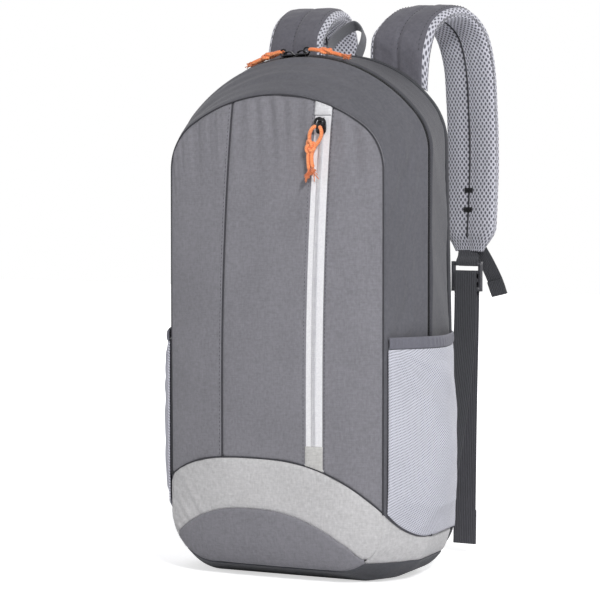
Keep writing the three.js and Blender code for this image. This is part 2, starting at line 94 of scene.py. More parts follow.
def linear(code):
    """The linear RGBA of a six-digit sRGB colour code."""
    s = np.array([int(code[i : i + 2], 16) / 255 for i in (0, 2, 4)])
    rgb = np.where(s <= 0.04045, s / 12.92, ((s + 0.055) / 1.055) ** 2.4)
    return (*rgb.tolist(), 1.0)


class Nodes:
    """A new material with its Principled shader, and short ways to add and join its nodes."""

    def __init__(self, name):
        self.material = bpy.data.materials.new(name)
        self.material.use_nodes = True
        self.tree = self.material.node_tree
        self.tree.nodes.clear()
        output = self.node("OutputMaterial")
        self.shader = self.node("BsdfPrincipled")
        self.put(output.inputs[0], self.shader.outputs[0])

    def node(self, kind, **settings):
        """A new node of that kind, with its properties set."""
        node = self.tree.nodes.new("ShaderNode" + kind)
        for key, value in settings.items():
            setattr(node, key, value)
        return node

    def put(self, socket, value):
        if isinstance(value, bpy.types.NodeSocket):
            self.tree.links.new(value, socket)
        else:
            socket.default_value = value

    def fed(self, node, *values):
        """The node's first output, with its first inputs fed by those values."""
        for socket, value in zip(list(node.inputs), values):
            self.put(socket, value)
        return node.outputs[0]

    def math(self, operation, *values):
        return self.fed(self.node("Math", operation=operation), *values)

    def plus(self, a, b):
        return self.math("ADD", a, b)

    def minus(self, a, b):
        return self.math("SUBTRACT", a, b)

    def times(self, a, b):
        return self.math("MULTIPLY", a, b)

    def sine(self, a):
        return self.math("SINE", a)

    def around(self, value, middle, factor):
        """How far the value is from middle, times a factor."""
        return self.times(self.minus(value, middle), factor)

    def thread(self):
        """The two UV values, in millimetres across and along the cloth."""
        parts = self.node("SeparateXYZ")
        self.fed(parts, self.node("UVMap", uv_map="thread").outputs[0])
        return parts.outputs[0], parts.outputs[1]

    def join(self, x, y):
        return self.fed(self.node("CombineXYZ"), x, y)

    def noise(self, vector, scale, detail=2.0):
        node = self.node("TexNoise")
        self.put(node.inputs["Vector"], vector)
        self.put(node.inputs["Scale"], scale)
        self.put(node.inputs["Detail"], detail)
        return node.outputs["Fac"]

    def place(self):
        return self.node("TexCoord").outputs["Object"]

    def span(self, value, low, high, to_low, to_high):
        node = self.node("MapRange", interpolation_type="SMOOTHSTEP")
        return self.fed(node, value, low, high, to_low, to_high)

    def mix(self, share, first, second):
        node = self.node("Mix", data_type="RGBA")
        for number, value in ((0, share), (6, first), (7, second)):
            self.put(node.inputs[number], value)
        return node.outputs[2]

    def bump(self, height, strength, distance):
        node = self.node("Bump")
        self.put(node.inputs["Strength"], strength)
        self.put(node.inputs["Distance"], distance)
        self.put(node.inputs["Height"], height)
        return node.outputs[0]

    def done(self, **inputs):
        """The material, with its shader's inputs set: base_color is Base Color, and so on."""
        for key, value in inputs.items():
            name = key.replace("_", " ").title().replace("Ior", "IOR")
            self.put(self.shader.inputs[name], value)
        return self.material


SKY_LIGHT, SKY_SEEN = 0.3, 1.0
world = bpy.data.worlds.new("studio")
bpy.context.scene.world = world
world.use_nodes = True
sky = world.node_tree
backdrop = sky.nodes["Background"]
rays = sky.nodes.new("ShaderNodeLightPath")
seen = sky.nodes.new("ShaderNodeMath")
seen.operation = "MAXIMUM"
sky.links.new(rays.outputs["Is Camera Ray"], seen.inputs[0])
sky.links.new(rays.outputs["Is Glossy Ray"], seen.inputs[1])
strength = sky.nodes.new("ShaderNodeMapRange")
strength.inputs["To Min"].default_value = SKY_LIGHT
strength.inputs["To Max"].default_value = SKY_SEEN
sky.links.new(seen.outputs[0], strength.inputs["Value"])
sky.links.new(strength.outputs[0], backdrop.inputs["Strength"])
backdrop.inputs["Color"].default_value = (1, 1, 1, 1)

FLOOR_GLOW, FAR_GLOW = 0.6, 0.5
GLOW_STARTS, GLOW_ENDS = 0.3, 1.3
ground = Nodes("floor")
far = ground.node("VectorMath", operation="LENGTH")
ground.fed(far, ground.place())
glow = ground.span(far.outputs["Value"], GLOW_STARTS, GLOW_ENDS, FLOOR_GLOW,
                   FLOOR_GLOW + FAR_GLOW)
glow = ground.times(ground.node("LightPath").outputs["Is Camera Ray"], glow)
floor_material = ground.done(base_color=linear("f4f4f6"), roughness=0.9, specular_ior_level=0.1,
                             emission_color=(1, 1, 1, 1), emission_strength=glow)
floor_mesh = bpy.data.meshes.new("floor")
REACH = 4.0
FLOOR_DROP = -0.0005
corners = [(-REACH, -REACH), (REACH, -REACH), (REACH, REACH), (-REACH, REACH)]
floor_mesh.from_pydata([(x, y, FLOOR_DROP) for x, y in corners], [], [(0, 1, 2, 3)])
floor_mesh.materials.append(floor_material)
floor = bpy.data.objects.new("floor", floor_mesh)
bpy.context.collection.objects.link(floor)
bpy.context.scene.view_settings.view_transform = "Standard"

# --------------------
# Shell, rear gusset: the dark strip behind the main zip, over the arch from one side pocket to
# the other. Its wall runs through three outlines across the bag, each of a crown arc, two
# shoulder arcs, straight sides and two bottom corners. Coated polyester, sewn at both edges.
CLOTH = 1.2
BACK = {"y": 66, "half": 92, "top": 402, "crown": 105, "shoulder": 52, "corner": 38, "flare": 8}
ZIP = {"y": 4, "half": 110, "top": 401, "crown": 132, "shoulder": 44, "corner": 40, "flare": 0}
FRONT = {"y": -39.5, "half": 94, "top": 371, "crown": 135, "shoulder": 42, "corner": 40,
         "flare": 0}
FLOOR_BACK, FLOOR_FRONT = 56, -16
BACK_RISE, FRONT_RISE = 8, 9
BAND_CREST, BAND_HIGH, BAND_LOW = -12, 94, 55
SIDE_BAND_LOW = 34.5
BASE_EDGE = 16
FOLD = 338
ZIP_LIP = 1.4


def floor_at(y):
    """Height of the underside at depth y: flat in the middle, rising evenly to each seam."""
    back = BACK_RISE * np.clip((y - FLOOR_BACK) / (BACK["y"] - FLOOR_BACK), 0, 1)
    front = FRONT_RISE * np.clip((FLOOR_FRONT - y) / (FLOOR_FRONT - FRONT["y"]), 0, 1)
    return back + front


def outline(y, inset=0.0):
    """The outline's arcs at depths y, mixed evenly between the nearest two of the three."""
    y = np.asarray(y, float)
    back = np.clip((y - ZIP["y"]) / (BACK["y"] - ZIP["y"]), 0, 1)
    front = np.clip((ZIP["y"] - y) / (ZIP["y"] - FRONT["y"]), 0, 1)
    o = {k: ZIP[k] + (BACK[k] - ZIP[k]) * back + (FRONT[k] - ZIP[k]) * front for k in ZIP}
    for key in ("crown", "shoulder", "corner", "half", "top"):
        o[key] = o[key] - inset
    o["floor"] = floor_at(y) + inset
    o["sine"] = (o["half"] - o["shoulder"]) / (o["crown"] - o["shoulder"])
    o["centre"] = o["top"] - o["crown"]
    o["spring"] = o["centre"] + (o["crown"] - o["shoulder"]) * np.sqrt(1 - o["sine"] ** 2)
    return o


def half_width(y, z, inset=0.0):
    """Half width at (y, z), on the crown circle, shoulder circle, side or corner circle."""
    o = outline(y, inset)
    join = o["centre"] + o["crown"] * np.sqrt(1 - o["sine"] ** 2)
    crown = np.sqrt(np.maximum(o["crown"] ** 2 - (z - o["centre"]) ** 2, 0))
    above = np.sqrt(np.maximum(o["shoulder"] ** 2 - (z - o["spring"]) ** 2, 0))
    shoulder = o["half"] - o["shoulder"] + above
    lean = o["flare"] * np.maximum(o["spring"] - z, 0) / (o["spring"] - o["floor"])
    drop = np.clip(o["floor"] + o["corner"] - z, 0, o["corner"])
    side = o["half"] + lean - o["corner"] + np.sqrt(o["corner"] ** 2 - drop**2)
    return np.where(z >= join, crown, np.where(z > o["spring"], shoulder, side))


def band_top(x):
    """Upper edge of the pale band across the front: a crest that falls off by a power."""
    fall = np.abs(x - BAND_CREST) / (FRONT["half"] - BAND_CREST)
    return BAND_HIGH - (BAND_HIGH - BAND_LOW) * fall**2.8


def side_band_top(side, y):
    """Upper edge of the pale band along a side: a parabola that meets the front band's end."""
    ahead = np.clip((ZIP["y"] - y) / (ZIP["y"] - FRONT["y"]), 0, 1)
    return SIDE_BAND_LOW + (band_top(side * FRONT["half"]) - SIDE_BAND_LOW) * ahead**2


def arch(t, y, foot, inset=0.0):
    """Points over the arch at depths y. t runs from 1 at the foot on +X over 0 at the crown to
    -1 on -X, by length along the crown arc, the shoulder arc and the side down to height foot."""
    o = outline(y, inset)
    turn = np.arcsin(o["sine"])
    crown = o["crown"] * turn
    shoulder = o["shoulder"] * (np.pi / 2 - turn)
    s = np.abs(t) * (crown + shoulder + o["spring"] - foot)
    a = np.minimum(s, crown) / o["crown"]
    b = turn + np.clip(s - crown, 0, shoulder) / o["shoulder"]
    below = np.maximum(s - crown - shoulder, 0)
    on_crown = s <= crown
    round_x = o["half"] - o["shoulder"] + o["shoulder"] * np.sin(b)
    x = np.where(on_crown, o["crown"] * np.sin(a), round_x)
    high = o["spring"] + o["shoulder"] * np.cos(b)
    z = np.where(on_crown, o["centre"] + o["crown"] * np.cos(a), high) - below
    x = np.where(below > 0, half_width(y, z, inset), x)
    return np.stack([np.sign(t) * x, y + 0 * t, z], -1)


def normals_of(points):
    """Unit normals of a grid of points, from the cross product of its two directions."""
    across = np.gradient(points, axis=0)
    along = np.gradient(points, axis=1)
    n = np.cross(across, along)
    return n / np.maximum(np.linalg.norm(n, axis=-1, keepdims=True), 1e-9)


BAG_MIDDLE = np.array([0, 12, 190])


def outward(points):
    """The grid's normals, all turned away from the bag's middle."""
    n = normals_of(points)
    away = np.sum(n * (points - BAG_MIDDLE), -1)
    return n if away.mean() > 0 else -n


def creases(u, v, length, seed):
    """Soft undulation, from -1 to 1: eight sine waves in seeded directions over (u, v)."""
    rng = np.random.default_rng(seed)
    total = 0
    for _ in range(8):
        a, k = rng.uniform(0, np.pi), 2 * np.pi / (length * rng.uniform(0.6, 1.7))
        wave = u * np.cos(a) + v * np.sin(a)
        total = total + np.sin(k * wave + rng.uniform(0, 2 * np.pi))
    return total / 8


def bell(distance, width):
    """1 at no distance, falling off as a Gaussian of that width."""
    return np.exp(-((distance / width) ** 2))


def seam_dip(distance, depth=1.1, width=1.8):
    """How far cloth dips at a seam: a bell of that depth and width over the distance from it."""
    return -depth * bell(distance, width)


def lengths_of(points, axis):
    """Length run along one direction of a grid, the same size as the grid."""
    step = np.linalg.norm(np.diff(points, axis=axis), axis=-1)
    zero = np.zeros_like(np.take(step, [0], axis=axis))
    return np.concatenate([zero, np.cumsum(step, axis=axis)], axis=axis)


def edge_distance(points):
    """Distance of each grid point from the grid's four edges: (first, last) of u, then of v."""
    u, v = lengths_of(points, 0), lengths_of(points, 1)
    return u, u[-1:] - u, v, v[:, -1:] - v


def volume_of(vertices, quads):
    """Signed volume inside the quads: the sum over both triangles of each quad."""
    a, b, c, d = (vertices[quads[:, k]] for k in range(4))
    triple = np.einsum("ij,ij->i", a, np.cross(b, c)) + np.einsum("ij,ij->i", a, np.cross(c, d))
    return triple.sum() / 6


def add_mesh(name, parts, materials):
    """A smooth mesh object from closed parts of (vertices in millimetres, quads, UV, material
    number). Each part is turned to face out, and the points of a pole are welded."""
    name = name.replace(" ", "-")
    counts = np.cumsum([0] + [len(p[0]) for p in parts])
    vertices = np.concatenate([p[0] for p in parts])
    quads = [p[1] if volume_of(p[0], p[1]) > 0 else p[1][:, ::-1] for p in parts]
    faces = np.concatenate([q + start for q, start in zip(quads, counts)]).astype(np.int32)
    uv = np.concatenate([p[2] for p in parts])
    mesh = bpy.data.meshes.new(name)
    mesh.vertices.add(len(vertices))
    mesh.vertices.foreach_set("co", (vertices * MM).astype(np.float32).ravel())
    mesh.loops.add(faces.size)
    mesh.loops.foreach_set("vertex_index", faces.ravel())
    mesh.polygons.add(len(faces))
    mesh.polygons.foreach_set("loop_start", np.arange(0, faces.size, 4))
    mesh.update(calc_edges=True)
    mesh.polygons.foreach_set("use_smooth", np.ones(len(faces), bool))
    kinds = [np.broadcast_to(p[3], len(p[1])) for p in parts]
    mesh.polygons.foreach_set("material_index", np.concatenate(kinds).astype(np.int32))
    layer = mesh.uv_layers.new(name="thread")
    layer.data.foreach_set("uv", uv[faces.ravel()].astype(np.float32).ravel())
    shape = bmesh.new()
    shape.from_mesh(mesh)
    bmesh.ops.remove_doubles(shape, verts=shape.verts, dist=2e-6)
    shape.to_mesh(mesh)
    shape.free()
    for material in materials:
        mesh.materials.append(material)
    obj = bpy.data.objects.new(name, mesh)
    bpy.context.collection.objects.link(obj)
    return obj


def grid_faces(rows, columns, wrap=False):
    """The quads of a grid, joined round its second direction where wrap is true."""
    i = np.arange(rows - 1)[:, None]
    j = np.arange(columns if wrap else columns - 1)[None, :]
    k = (j + 1) % columns
    a, b = i * columns + j, i * columns + k
    return np.stack([a, b, b + columns, a + columns], -1).reshape(-1, 4)


def cloth_sheet(name, points, normals, material, thickness=CLOTH, uv=None):
    """A closed sheet of cloth: the grid, the same grid drawn in along its normals by the
    thickness, and a strip of faces round the rim."""
    rows, columns = points.shape[:2]
    inner = points - normals * thickness
    if uv is None:
        uv = np.stack([lengths_of(points, 0), lengths_of(points, 1)], -1)
    top = grid_faces(rows, columns)
    count = rows * columns
    first, last = np.arange(columns), (rows - 1) * columns + np.arange(columns)
    left, right = np.arange(rows) * columns, np.arange(rows) * columns + columns - 1
    rim = np.concatenate([first, right[1:], last[::-1][1:], left[::-1][1:-1]])
    nxt = np.roll(rim, -1)
    band = np.stack([rim, rim + count, nxt + count, nxt], -1)
    quads = np.concatenate([top, top[:, ::-1] + count, band])
    both = np.concatenate([points.reshape(-1, 3), inner.reshape(-1, 3)])
    return add_mesh(name, [(both, quads, np.tile(uv.reshape(-1, 2), (2, 1)), 0)], [material])


def shade(code, factor):
    """That colour, lighter or darker by a factor in linear light."""
    r, g, b, a = linear(code)
    return (min(r * factor, 1), min(g * factor, 1), min(b * factor, 1), a)


THREAD = 0.55


def woven(name, code, contrast=0.2):
    """Plain-weave polyester: threads that cross over and under as a product of two sine waves,
    slubs along both ways, and a slow drift of tone."""
    n = Nodes(name)
    u, v = n.thread()
    wave = np.pi / THREAD
    over = n.times(n.sine(n.times(u, wave)), n.sine(n.times(v, wave)))
    warp = n.noise(n.join(n.times(u, 1.9), n.times(v, 0.12)), 1.0)
    weft = n.noise(n.join(n.times(u, 0.12), n.times(v, 1.9)), 1.0)
    slub = n.plus(warp, weft)
    tone = n.span(over, -1, 1, 0.5 - contrast, 0.5 + contrast)
    tone = n.plus(tone, n.around(slub, 1.0, 0.85))
    tone = n.plus(tone, n.around(n.noise(n.place(), 22.0, 3.0), 0.5, 0.6))
    tone = n.plus(tone, n.around(n.noise(n.place(), 420.0, 3.0), 0.5, 1.1))
    height = n.plus(over, n.times(slub, 0.6))
    return n.done(base_color=n.mix(tone, shade(code, 0.8), shade(code, 1.22)),
                  normal=n.bump(height, 0.35, 0.00012), roughness=0.84, specular_ior_level=0.3,
                  sheen_weight=0.12, sheen_roughness=0.5)


def settle(piece, slot, body, *nodes):
    """The piece rides that body and stands for those CAD nodes, which are hidden; slot is not
    used.
    """
    if nodes:
        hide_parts(*nodes)
    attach(piece, body)


def raised(name, surface, lift, material, **more):
    """A sheet of cloth over a surface, each point moved outwards by its lift."""
    out = outward(surface)
    return cloth_sheet(name, surface + out * lift[..., None], out, material, **more)


rear_cloth = woven("rear gusset cloth", "49494f")
t = np.linspace(-1, 1, 300)[:, None]
y = np.linspace(ZIP["y"] + ZIP_LIP, BACK["y"], 26)[None, :]
foot = side_band_top(1, y) + 0.3
surface = arch(t, y, foot)
u0, u1, v0, v1 = edge_distance(surface)
lip = 1.1 * bell(v0 - 2.4, 1.6) - 1.2 * bell(v0, 1.1)
pucker = 0.35 * creases(surface[..., 0] + 2 * surface[..., 2], surface[..., 1], 16, 5)
lift = lip + seam_dip(v1, 1.4, 2.2) + pucker * (1 - bell(v0, 9))
lift = lift + 1.3 * creases(surface[..., 0], surface[..., 1] + surface[..., 2], 50, 8)
rear_gusset = raised("rear gusset", surface, lift, rear_cloth)
settle(rear_gusset, "charcoal_cloth", "bag", "rear_gusset")

# --------------------
# Front gusset: one strip of dark grey cloth between the main zip and the front panel, over the
# arch from side band to side band.
gusset_cloth = woven("front gusset cloth", "606066")


def folding(piece, slot, *nodes):
    """A sewn piece that crosses the fold: it stands for those nodes, which are hidden, and its
    transform is baked into its mesh; slot is not used.
    """
    if nodes:
        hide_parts(*nodes)
    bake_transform(piece)


t = np.linspace(-1, 1, 320)[:, None]
y = np.linspace(FRONT["y"], ZIP["y"] - ZIP_LIP, 30)[None, :]
foot = np.where(t > 0, side_band_top(1, y), side_band_top(-1, y)) + 0.2
surface = arch(t, y, foot)
u0, u1, v0, v1 = edge_distance(surface)
lip = 1.0 * bell(v1 - 2.4, 1.6) - 1.2 * bell(v1, 1.1)
slack = np.sin(np.pi * np.clip(v0 / (v0 + v1), 0, 1))
drape = 2.0 * creases(surface[..., 0] * 0.6, surface[..., 2] - 2.4 * surface[..., 1], 46, 21)
drape = drape + 1.3 * creases(surface[..., 1] * 1.6, surface[..., 2] * 0.4, 15, 3)
lift = lip + seam_dip(v0, 1.2, 1.7) + slack * drape
lift = lift + seam_dip(np.minimum(u0, u1), 0.9, 1.6)
front_gusset = raised("front gusset", surface, lift, gusset_cloth)
folding(front_gusset, "dark_cloth", "front_gusset_top", "front_gusset_left", "front_gusset_right")

# --------------------
# Side bands: the pale band runs on from the front, low along each side, under the mesh pocket.
pale_cloth = woven("pale cloth", "bfbebf", contrast=0.14)
for name, side in (("left", -1), ("right", 1)):
    s = np.linspace(0, 1, 18)[:, None]
    y = np.linspace(FRONT["y"], BACK["y"], 70)[None, :]
    z = BASE_EDGE + (side_band_top(side, y) - BASE_EDGE) * s
    surface = np.stack([side * half_width(y, z), y + 0 * z, z], -1)
    u0, u1, v0, v1 = edge_distance(surface)
    lift = seam_dip(np.minimum(u0, u1), 0.8, 1.4) + seam_dip(np.minimum(v0, v1), 0.9, 1.6)
    lift = lift + 0.35 * creases(surface[..., 1], surface[..., 2] * 2, 20, 31 + side)
    band = raised(f"side band {name}", surface, lift, pale_cloth)
    settle(band, "pale_cloth", "bag", f"side_band_{name}")

# --------------------
# Base panel: charcoal cloth under the bag, flat where it stands and turned up at both sides.
base_cloth = woven("base cloth", "4a4b50", contrast=0.25)
SWEEP = np.linspace(-1, 1, 130)[:, None]
y = np.linspace(FRONT["y"], BACK["y"], 46)[None, :]
o = outline(y)
start = np.arcsin(np.clip((o["floor"] + o["corner"] - BASE_EDGE) / o["corner"], 0, 1))
CURVED = 0.4
turned = start + (np.pi / 2 - start) * np.clip((1 - np.abs(SWEEP)) / CURVED, 0, 1)
z = o["floor"] + o["corner"] * (1 - np.sin(turned))
edge = half_width(y, z + 1e-9)
flat = np.clip(np.abs(SWEEP) / (1 - CURVED), 0, 1)
x = np.where(np.abs(SWEEP) < 1 - CURVED, flat * half_width(y, o["floor"] + 1e-9), edge)
surface = np.stack([np.sign(SWEEP) * x, y + 0 * x, z], -1)
base = cloth_sheet("base panel", surface, outward(surface), base_cloth)
settle(base, "charcoal_cloth", "bag", "base_panel")

# --------------------
# Front panel: a pale curved band, the toe below it, and three grey strips above it, sewn to one
# another. The cloth is full over the load and gathered a little into the top seam.
BELLY, BELLY_HEIGHT, TOE_HEIGHT = 18, 150, 60
TOE_HIGH, TOE_LOW, TOE_HALF = 55, 20, 76
SEAM_X, FRONT_ZIP_X, TAPE_WIDTH = -38, 42.5, 13


def belly_at(z):
    """How far the front stands out: a parabola upwards and an ellipse down to the toe."""
    rise = np.maximum(z - BELLY_HEIGHT, 0) / (FRONT["top"] - BELLY_HEIGHT)
    under = 1 - np.clip((z - FRONT_RISE) / TOE_HEIGHT, 0, 1)
    return BELLY * (1 - rise**2) * np.sqrt(1 - under**2)


def front_y(x, z):
    """Depth of the front: the belly, falling off to the seam by the cube of the width share."""
    width = np.maximum(half_width(FRONT["y"], z), 1)
    share = np.minimum(np.abs(x) / width, 1)
    return FRONT["y"] - belly_at(z) * (1 - share**3)


def front_top(x):
    """Upper seam of the front above x: the crown circle, then the shoulder circle."""
    o = outline(FRONT["y"])
    reach = np.abs(x)
    crown = o["centre"] + np.sqrt(np.maximum(o["crown"] ** 2 - reach**2, 0))
    in_shoulder = np.minimum(reach - o["half"] + o["shoulder"], o["shoulder"])
    shoulder = o["spring"] + np.sqrt(np.maximum(o["shoulder"] ** 2 - in_shoulder**2, 0))
    return np.where(reach <= o["crown"] * o["sine"], crown, shoulder)


def front_floor(x):
    """Lower seam of the front above x: flat, turned up at each bottom corner by its circle."""
    o = outline(FRONT["y"])
    reach = np.clip(np.abs(x) - o["half"] + o["corner"], 0, o["corner"])
    return o["floor"] + o["corner"] - np.sqrt(o["corner"] ** 2 - reach**2)


def toe_top(x):
    """Upper edge of the toe: a crest that falls off by a power to a level lower edge."""
    fall = np.minimum(np.abs(x - BAND_CREST) / (TOE_HALF - BAND_CREST), 1)
    return TOE_LOW + (TOE_HIGH - TOE_LOW) * (1 - fall**2.4)


def front_sheet(name, x, low, high, rows, material, shape, behind=0.0, **more):
    """A piece of the front between two edges, lifted by shape(x, z, distances to its edges)."""
    x = np.asarray(x)[:, None]
    share = np.linspace(0, 1, rows)[None, :]
    z = low(x) + (high(x) - low(x)) * share
    surface = np.stack([x + 0 * z, front_y(x, z) + behind, z], -1)
    lift = shape(x + 0 * z, z, edge_distance(surface))
    return raised(name, surface, lift, material, uv=np.stack([x + 0 * z, z], -1), **more)


def crowded(a, b, count, ends=(True, True)):
    """Values from a to b, closer together towards the ends that are true."""
    s = np.linspace(0, 1, count)
    bend = {(True, True): (1 - np.cos(np.pi * s)) / 2, (True, False): 1 - np.cos(np.pi * s / 2),
            (False, True): np.sin(np.pi * s / 2), (False, False): s}[ends]
    return a + (b - a) * bend


def band_shape(x, z, edges):
    u0, u1, v0, v1 = edges
    lift = seam_dip(np.minimum(v0, v1), 1.0, 1.6) + seam_dip(np.minimum(u0, u1), 1.0, 2.0)
    left_creases = bell(x + 66, 22) * creases(x + 0.9 * z, z * 0.2, 13, 44)
    right_creases = bell(x - 62, 26) * creases(x - 0.8 * z, z * 0.2, 15, 45)
    return lift + 1.3 * (left_creases + right_creases) + 0.35 * creases(x, z, 48, 46)


REACH_X = FRONT["half"] - 0.4
light_band = front_sheet("light band", crowded(-REACH_X, REACH_X, 130),
                         lambda x: np.maximum(toe_top(x), front_floor(x)), band_top, 30,
                         pale_cloth, band_shape)
settle(light_band, "pale_cloth", "bag", "light_band")

grey_cloth = woven("grey cloth", "7d7c82")
# Painted light: the toe's cloth is the grey cloth made a touch lighter, to make up for the toe
# facing down.
toe_painted_light_cloth = woven("toe painted light cloth", "7f7e84", contrast=0.25)


def toe_shape(x, z, edges):
    v0, v1 = edges[2:]
    return seam_dip(v1, 0.9, 1.5) + seam_dip(v0, 0.7, 1.5) + 0.3 * creases(x, z, 40, 51)


CROSS = (-86.5, 77.5)
toe_piece = front_sheet("toe", crowded(*CROSS, 100), front_floor,
                        lambda x: np.maximum(toe_top(x), front_floor(x) + 0.5), 36,
                        toe_painted_light_cloth, toe_shape)
settle(toe_piece, "grey_cloth", "bag", "toe_panel")

SLOT_HALF = TAPE_WIDTH / 2


def strip_shape(seed, gather):
    """Cloth dipping at its seams, gathered under the top seam and slack lower down."""

    def shape(x, z, edges):
        u0, u1, v0, v1 = edges
        near_top = bell(v1, 40) * (1 - bell(v1, 4))
        gathers = gather * near_top * creases(x * 1.7 + 0.22 * z, z * 0.06, 15, seed)
        loose = 1 - bell(np.minimum(u0, u1), 6)
        near_seam = bell(np.minimum(u0, u1), 9) * loose
        ripples = 0.35 * near_seam * creases(z, x * 0.3, 13, seed + 1)
        slack = 1.1 * creases(x * 0.8, z * 0.35, 36, seed + 2)
        dips = seam_dip(np.minimum(u0, u1), 0.9, 1.5) + seam_dip(np.minimum(v0, v1), 1.0, 1.7)
        return (gathers + slack) * loose + ripples + dips

    return shape


STRIPS = {
    "left": (crowded(-REACH_X, SEAM_X - 0.2, 60), 61, 2.6, ("front_panel_left",)),
    "centre": (crowded(SEAM_X + 0.2, FRONT_ZIP_X - SLOT_HALF - 0.1, 64), 71, 3.6,
               ("front_panel_centre", "front_panel_top")),
    "right": (crowded(FRONT_ZIP_X + SLOT_HALF + 0.1, REACH_X, 60), 81, 3.0,
              ("front_panel_right",)),
}
for name, (places, seed, gather, nodes) in STRIPS.items():
    strip = front_sheet(f"front {name}", places, band_top, front_top, 190, grey_cloth,
                        strip_shape(seed, gather))
    folding(strip, "grey_cloth", *nodes)

# --------------------
# Front zip: white woven tape in a slot between two strips, a white nylon coil down its middle,
# a sewn patch over each end, and dark stitches along both folded edges of the cloth.
COIL_FOOT, COIL_HEAD = 106, 353
PATCH_TOP = 367.5


def unit(v):
    return v / np.maximum(np.linalg.norm(v, axis=-1, keepdims=True), 1e-9)


def sweep(path, across, section, kind=0):
    """A closed part: a section of (across, out) offsets carried along a path, drawn together to
    a point at both ends. out is the cross product of across and the path's direction."""
    path, across = np.asarray(path, float), np.asarray(across, float)
    tangent = unit(np.gradient(path, axis=0))
    across = np.broadcast_to(across, path.shape)
    across = unit(across - tangent * np.sum(across * tangent, -1, keepdims=True))
    out = np.cross(across, tangent)
    section = np.broadcast_to(section, (len(path),) + np.shape(section)[-2:])
    rings = path[:, None] + across[:, None] * section[..., :1] + out[:, None] * section[..., 1:]
    ends = [np.broadcast_to(path[k], rings[0].shape) for k in (0, -1)]
    rings = np.concatenate([ends[0][None], rings, ends[1][None]])
    run = np.concatenate([[0], lengths_of(path[:, None], 0)[:, 0]])
    run = np.append(run, run[-1])
    turn = lengths_of(section[:1], 1)[0]
    uv = np.stack(np.broadcast_arrays(turn[None, :], run[:, None]), -1)
    quads = grid_faces(len(rings), rings.shape[1], wrap=True)
    return rings.reshape(-1, 3), quads, uv.reshape(-1, 2), kind


def oval(width, height, sides=10, square=1.0):
    """A section: an ellipse of that width and height, squarer as square falls below 1."""
    a = np.arange(sides) * 2 * np.pi / sides
    c, s = np.cos(a), np.sin(a)
    x = np.sign(c) * np.abs(c) ** square * width / 2
    return np.stack([x, np.sign(s) * np.abs(s) ** square * height / 2], -1)


def stitches(places, along, normal, length=2.0, thick=0.55):
    """Closed parts for a row of stitches: each a small spindle with four sides, half sunk."""
    along, normal = unit(along), unit(normal)
    across = np.cross(normal, along)
    tips = np.stack([places - along * length / 2, places + along * length / 2], 1)
    sides = [places + across * thick / 2, places + normal * thick * 0.6,
             places - across * thick / 2, places - normal * thick * 0.5]
    first, last = (np.repeat(tips[:, k : k + 1], 4, 1) for k in (0, 1))
    rings = np.stack([first, np.stack(sides, 1), last], 1)
    base = grid_faces(3, 4, wrap=True)
    count = len(places)
    quads = (base[None] + 12 * np.arange(count)[:, None, None]).reshape(-1, 4)
    return rings.reshape(-1, 3), quads, np.zeros((count * 12, 2)), 0


def along_front(x, z, stand=0.0):
    """Points on the front at places (x, z), standing out from it."""
    return np.stack([x + 0 * z, front_y(x, z) - stand, z + 0 * x], -1)


def coil(path, across, half, high, pitch, wire):
    """A zip coil: a flat helix along a path, out to half either way and up and down by high."""
    run = lengths_of(path[:, None], 0)[:, 0]
    turns = run[-1] / pitch
    s = np.linspace(0, run[-1], int(turns * 6))
    at = np.stack([np.interp(s, run, path[:, k]) for k in range(3)], -1)
    side = np.stack([np.interp(s, run, across[:, k]) for k in range(3)], -1)
    tangent = unit(np.gradient(at, axis=0))
    out = np.cross(side, tangent)
    phase = 2 * np.pi * s / pitch
    line = at + side * half * np.cos(phase)[:, None] + out * high * np.sin(phase)[:, None]
    return sweep(line, out, oval(2 * wire, 2 * wire, 4))


def plain_nylon(name, code, roughness, relief=0.15, metallic=0.0):
    """Moulded nylon or painted metal: even, with a fine orange-peel bump and slight wear."""
    n = Nodes(name)
    grain = n.noise(n.place(), 900.0, 3.0)
    wear = n.noise(n.place(), 160.0, 4.0)
    return n.done(base_color=n.mix(wear, shade(code, 0.75), shade(code, 1.3)),
                  roughness=n.span(grain, 0.3, 0.7, roughness - 0.08, roughness + 0.1),
                  normal=n.bump(grain, relief, 0.0001), metallic=metallic)


def ribbed(name, code, pitch, relief=0.5, contrast=0.16, along=True):
    """Ribbed webbing or tape: rounded ribs by the sine of the width, crossed by fine picks."""
    n = Nodes(name)
    u, v = n.thread()
    over, run = (u, v) if along else (v, u)
    rib = n.sine(n.times(over, 2 * np.pi / pitch))
    half_pitch = n.times(n.math("FLOOR", n.math("DIVIDE", over, pitch)), 0.5)
    pick = n.sine(n.times(n.plus(run, half_pitch), 2 * np.pi))
    height = n.plus(rib, n.times(pick, 0.35))
    tone = n.span(height, -1.3, 1.3, 0.5 - contrast, 0.5 + contrast)
    tone = n.plus(tone, n.around(n.noise(n.place(), 700.0, 3.0), 0.5, 0.6))
    return n.done(base_color=n.mix(tone, shade(code, 0.7), shade(code, 1.35)),
                  normal=n.bump(height, relief, 0.0002), roughness=0.78, sheen_weight=0.1)


white_tape = ribbed("white zip tape", "ecebf3", 1.1, relief=0.25, contrast=0.08)
white_nylon = plain_nylon("white coil nylon", "e4e3ec", 0.4)
thread = plain_nylon("dark thread", "3b3b42", 0.7)


def flat_shape(x, z, edges):
    return 0 * z


tape = front_sheet("front zip tape", np.linspace(-1, 1, 15) * (SLOT_HALF + 1.6) + FRONT_ZIP_X,
                   lambda x: band_top(x) + 0.6, lambda x: COIL_HEAD + 4 + 0 * x, 150,
                   white_tape, flat_shape, behind=0.9, thickness=0.7)
folding(tape, "white_tape", "front_zip_tape", "front_zip_tape_top")

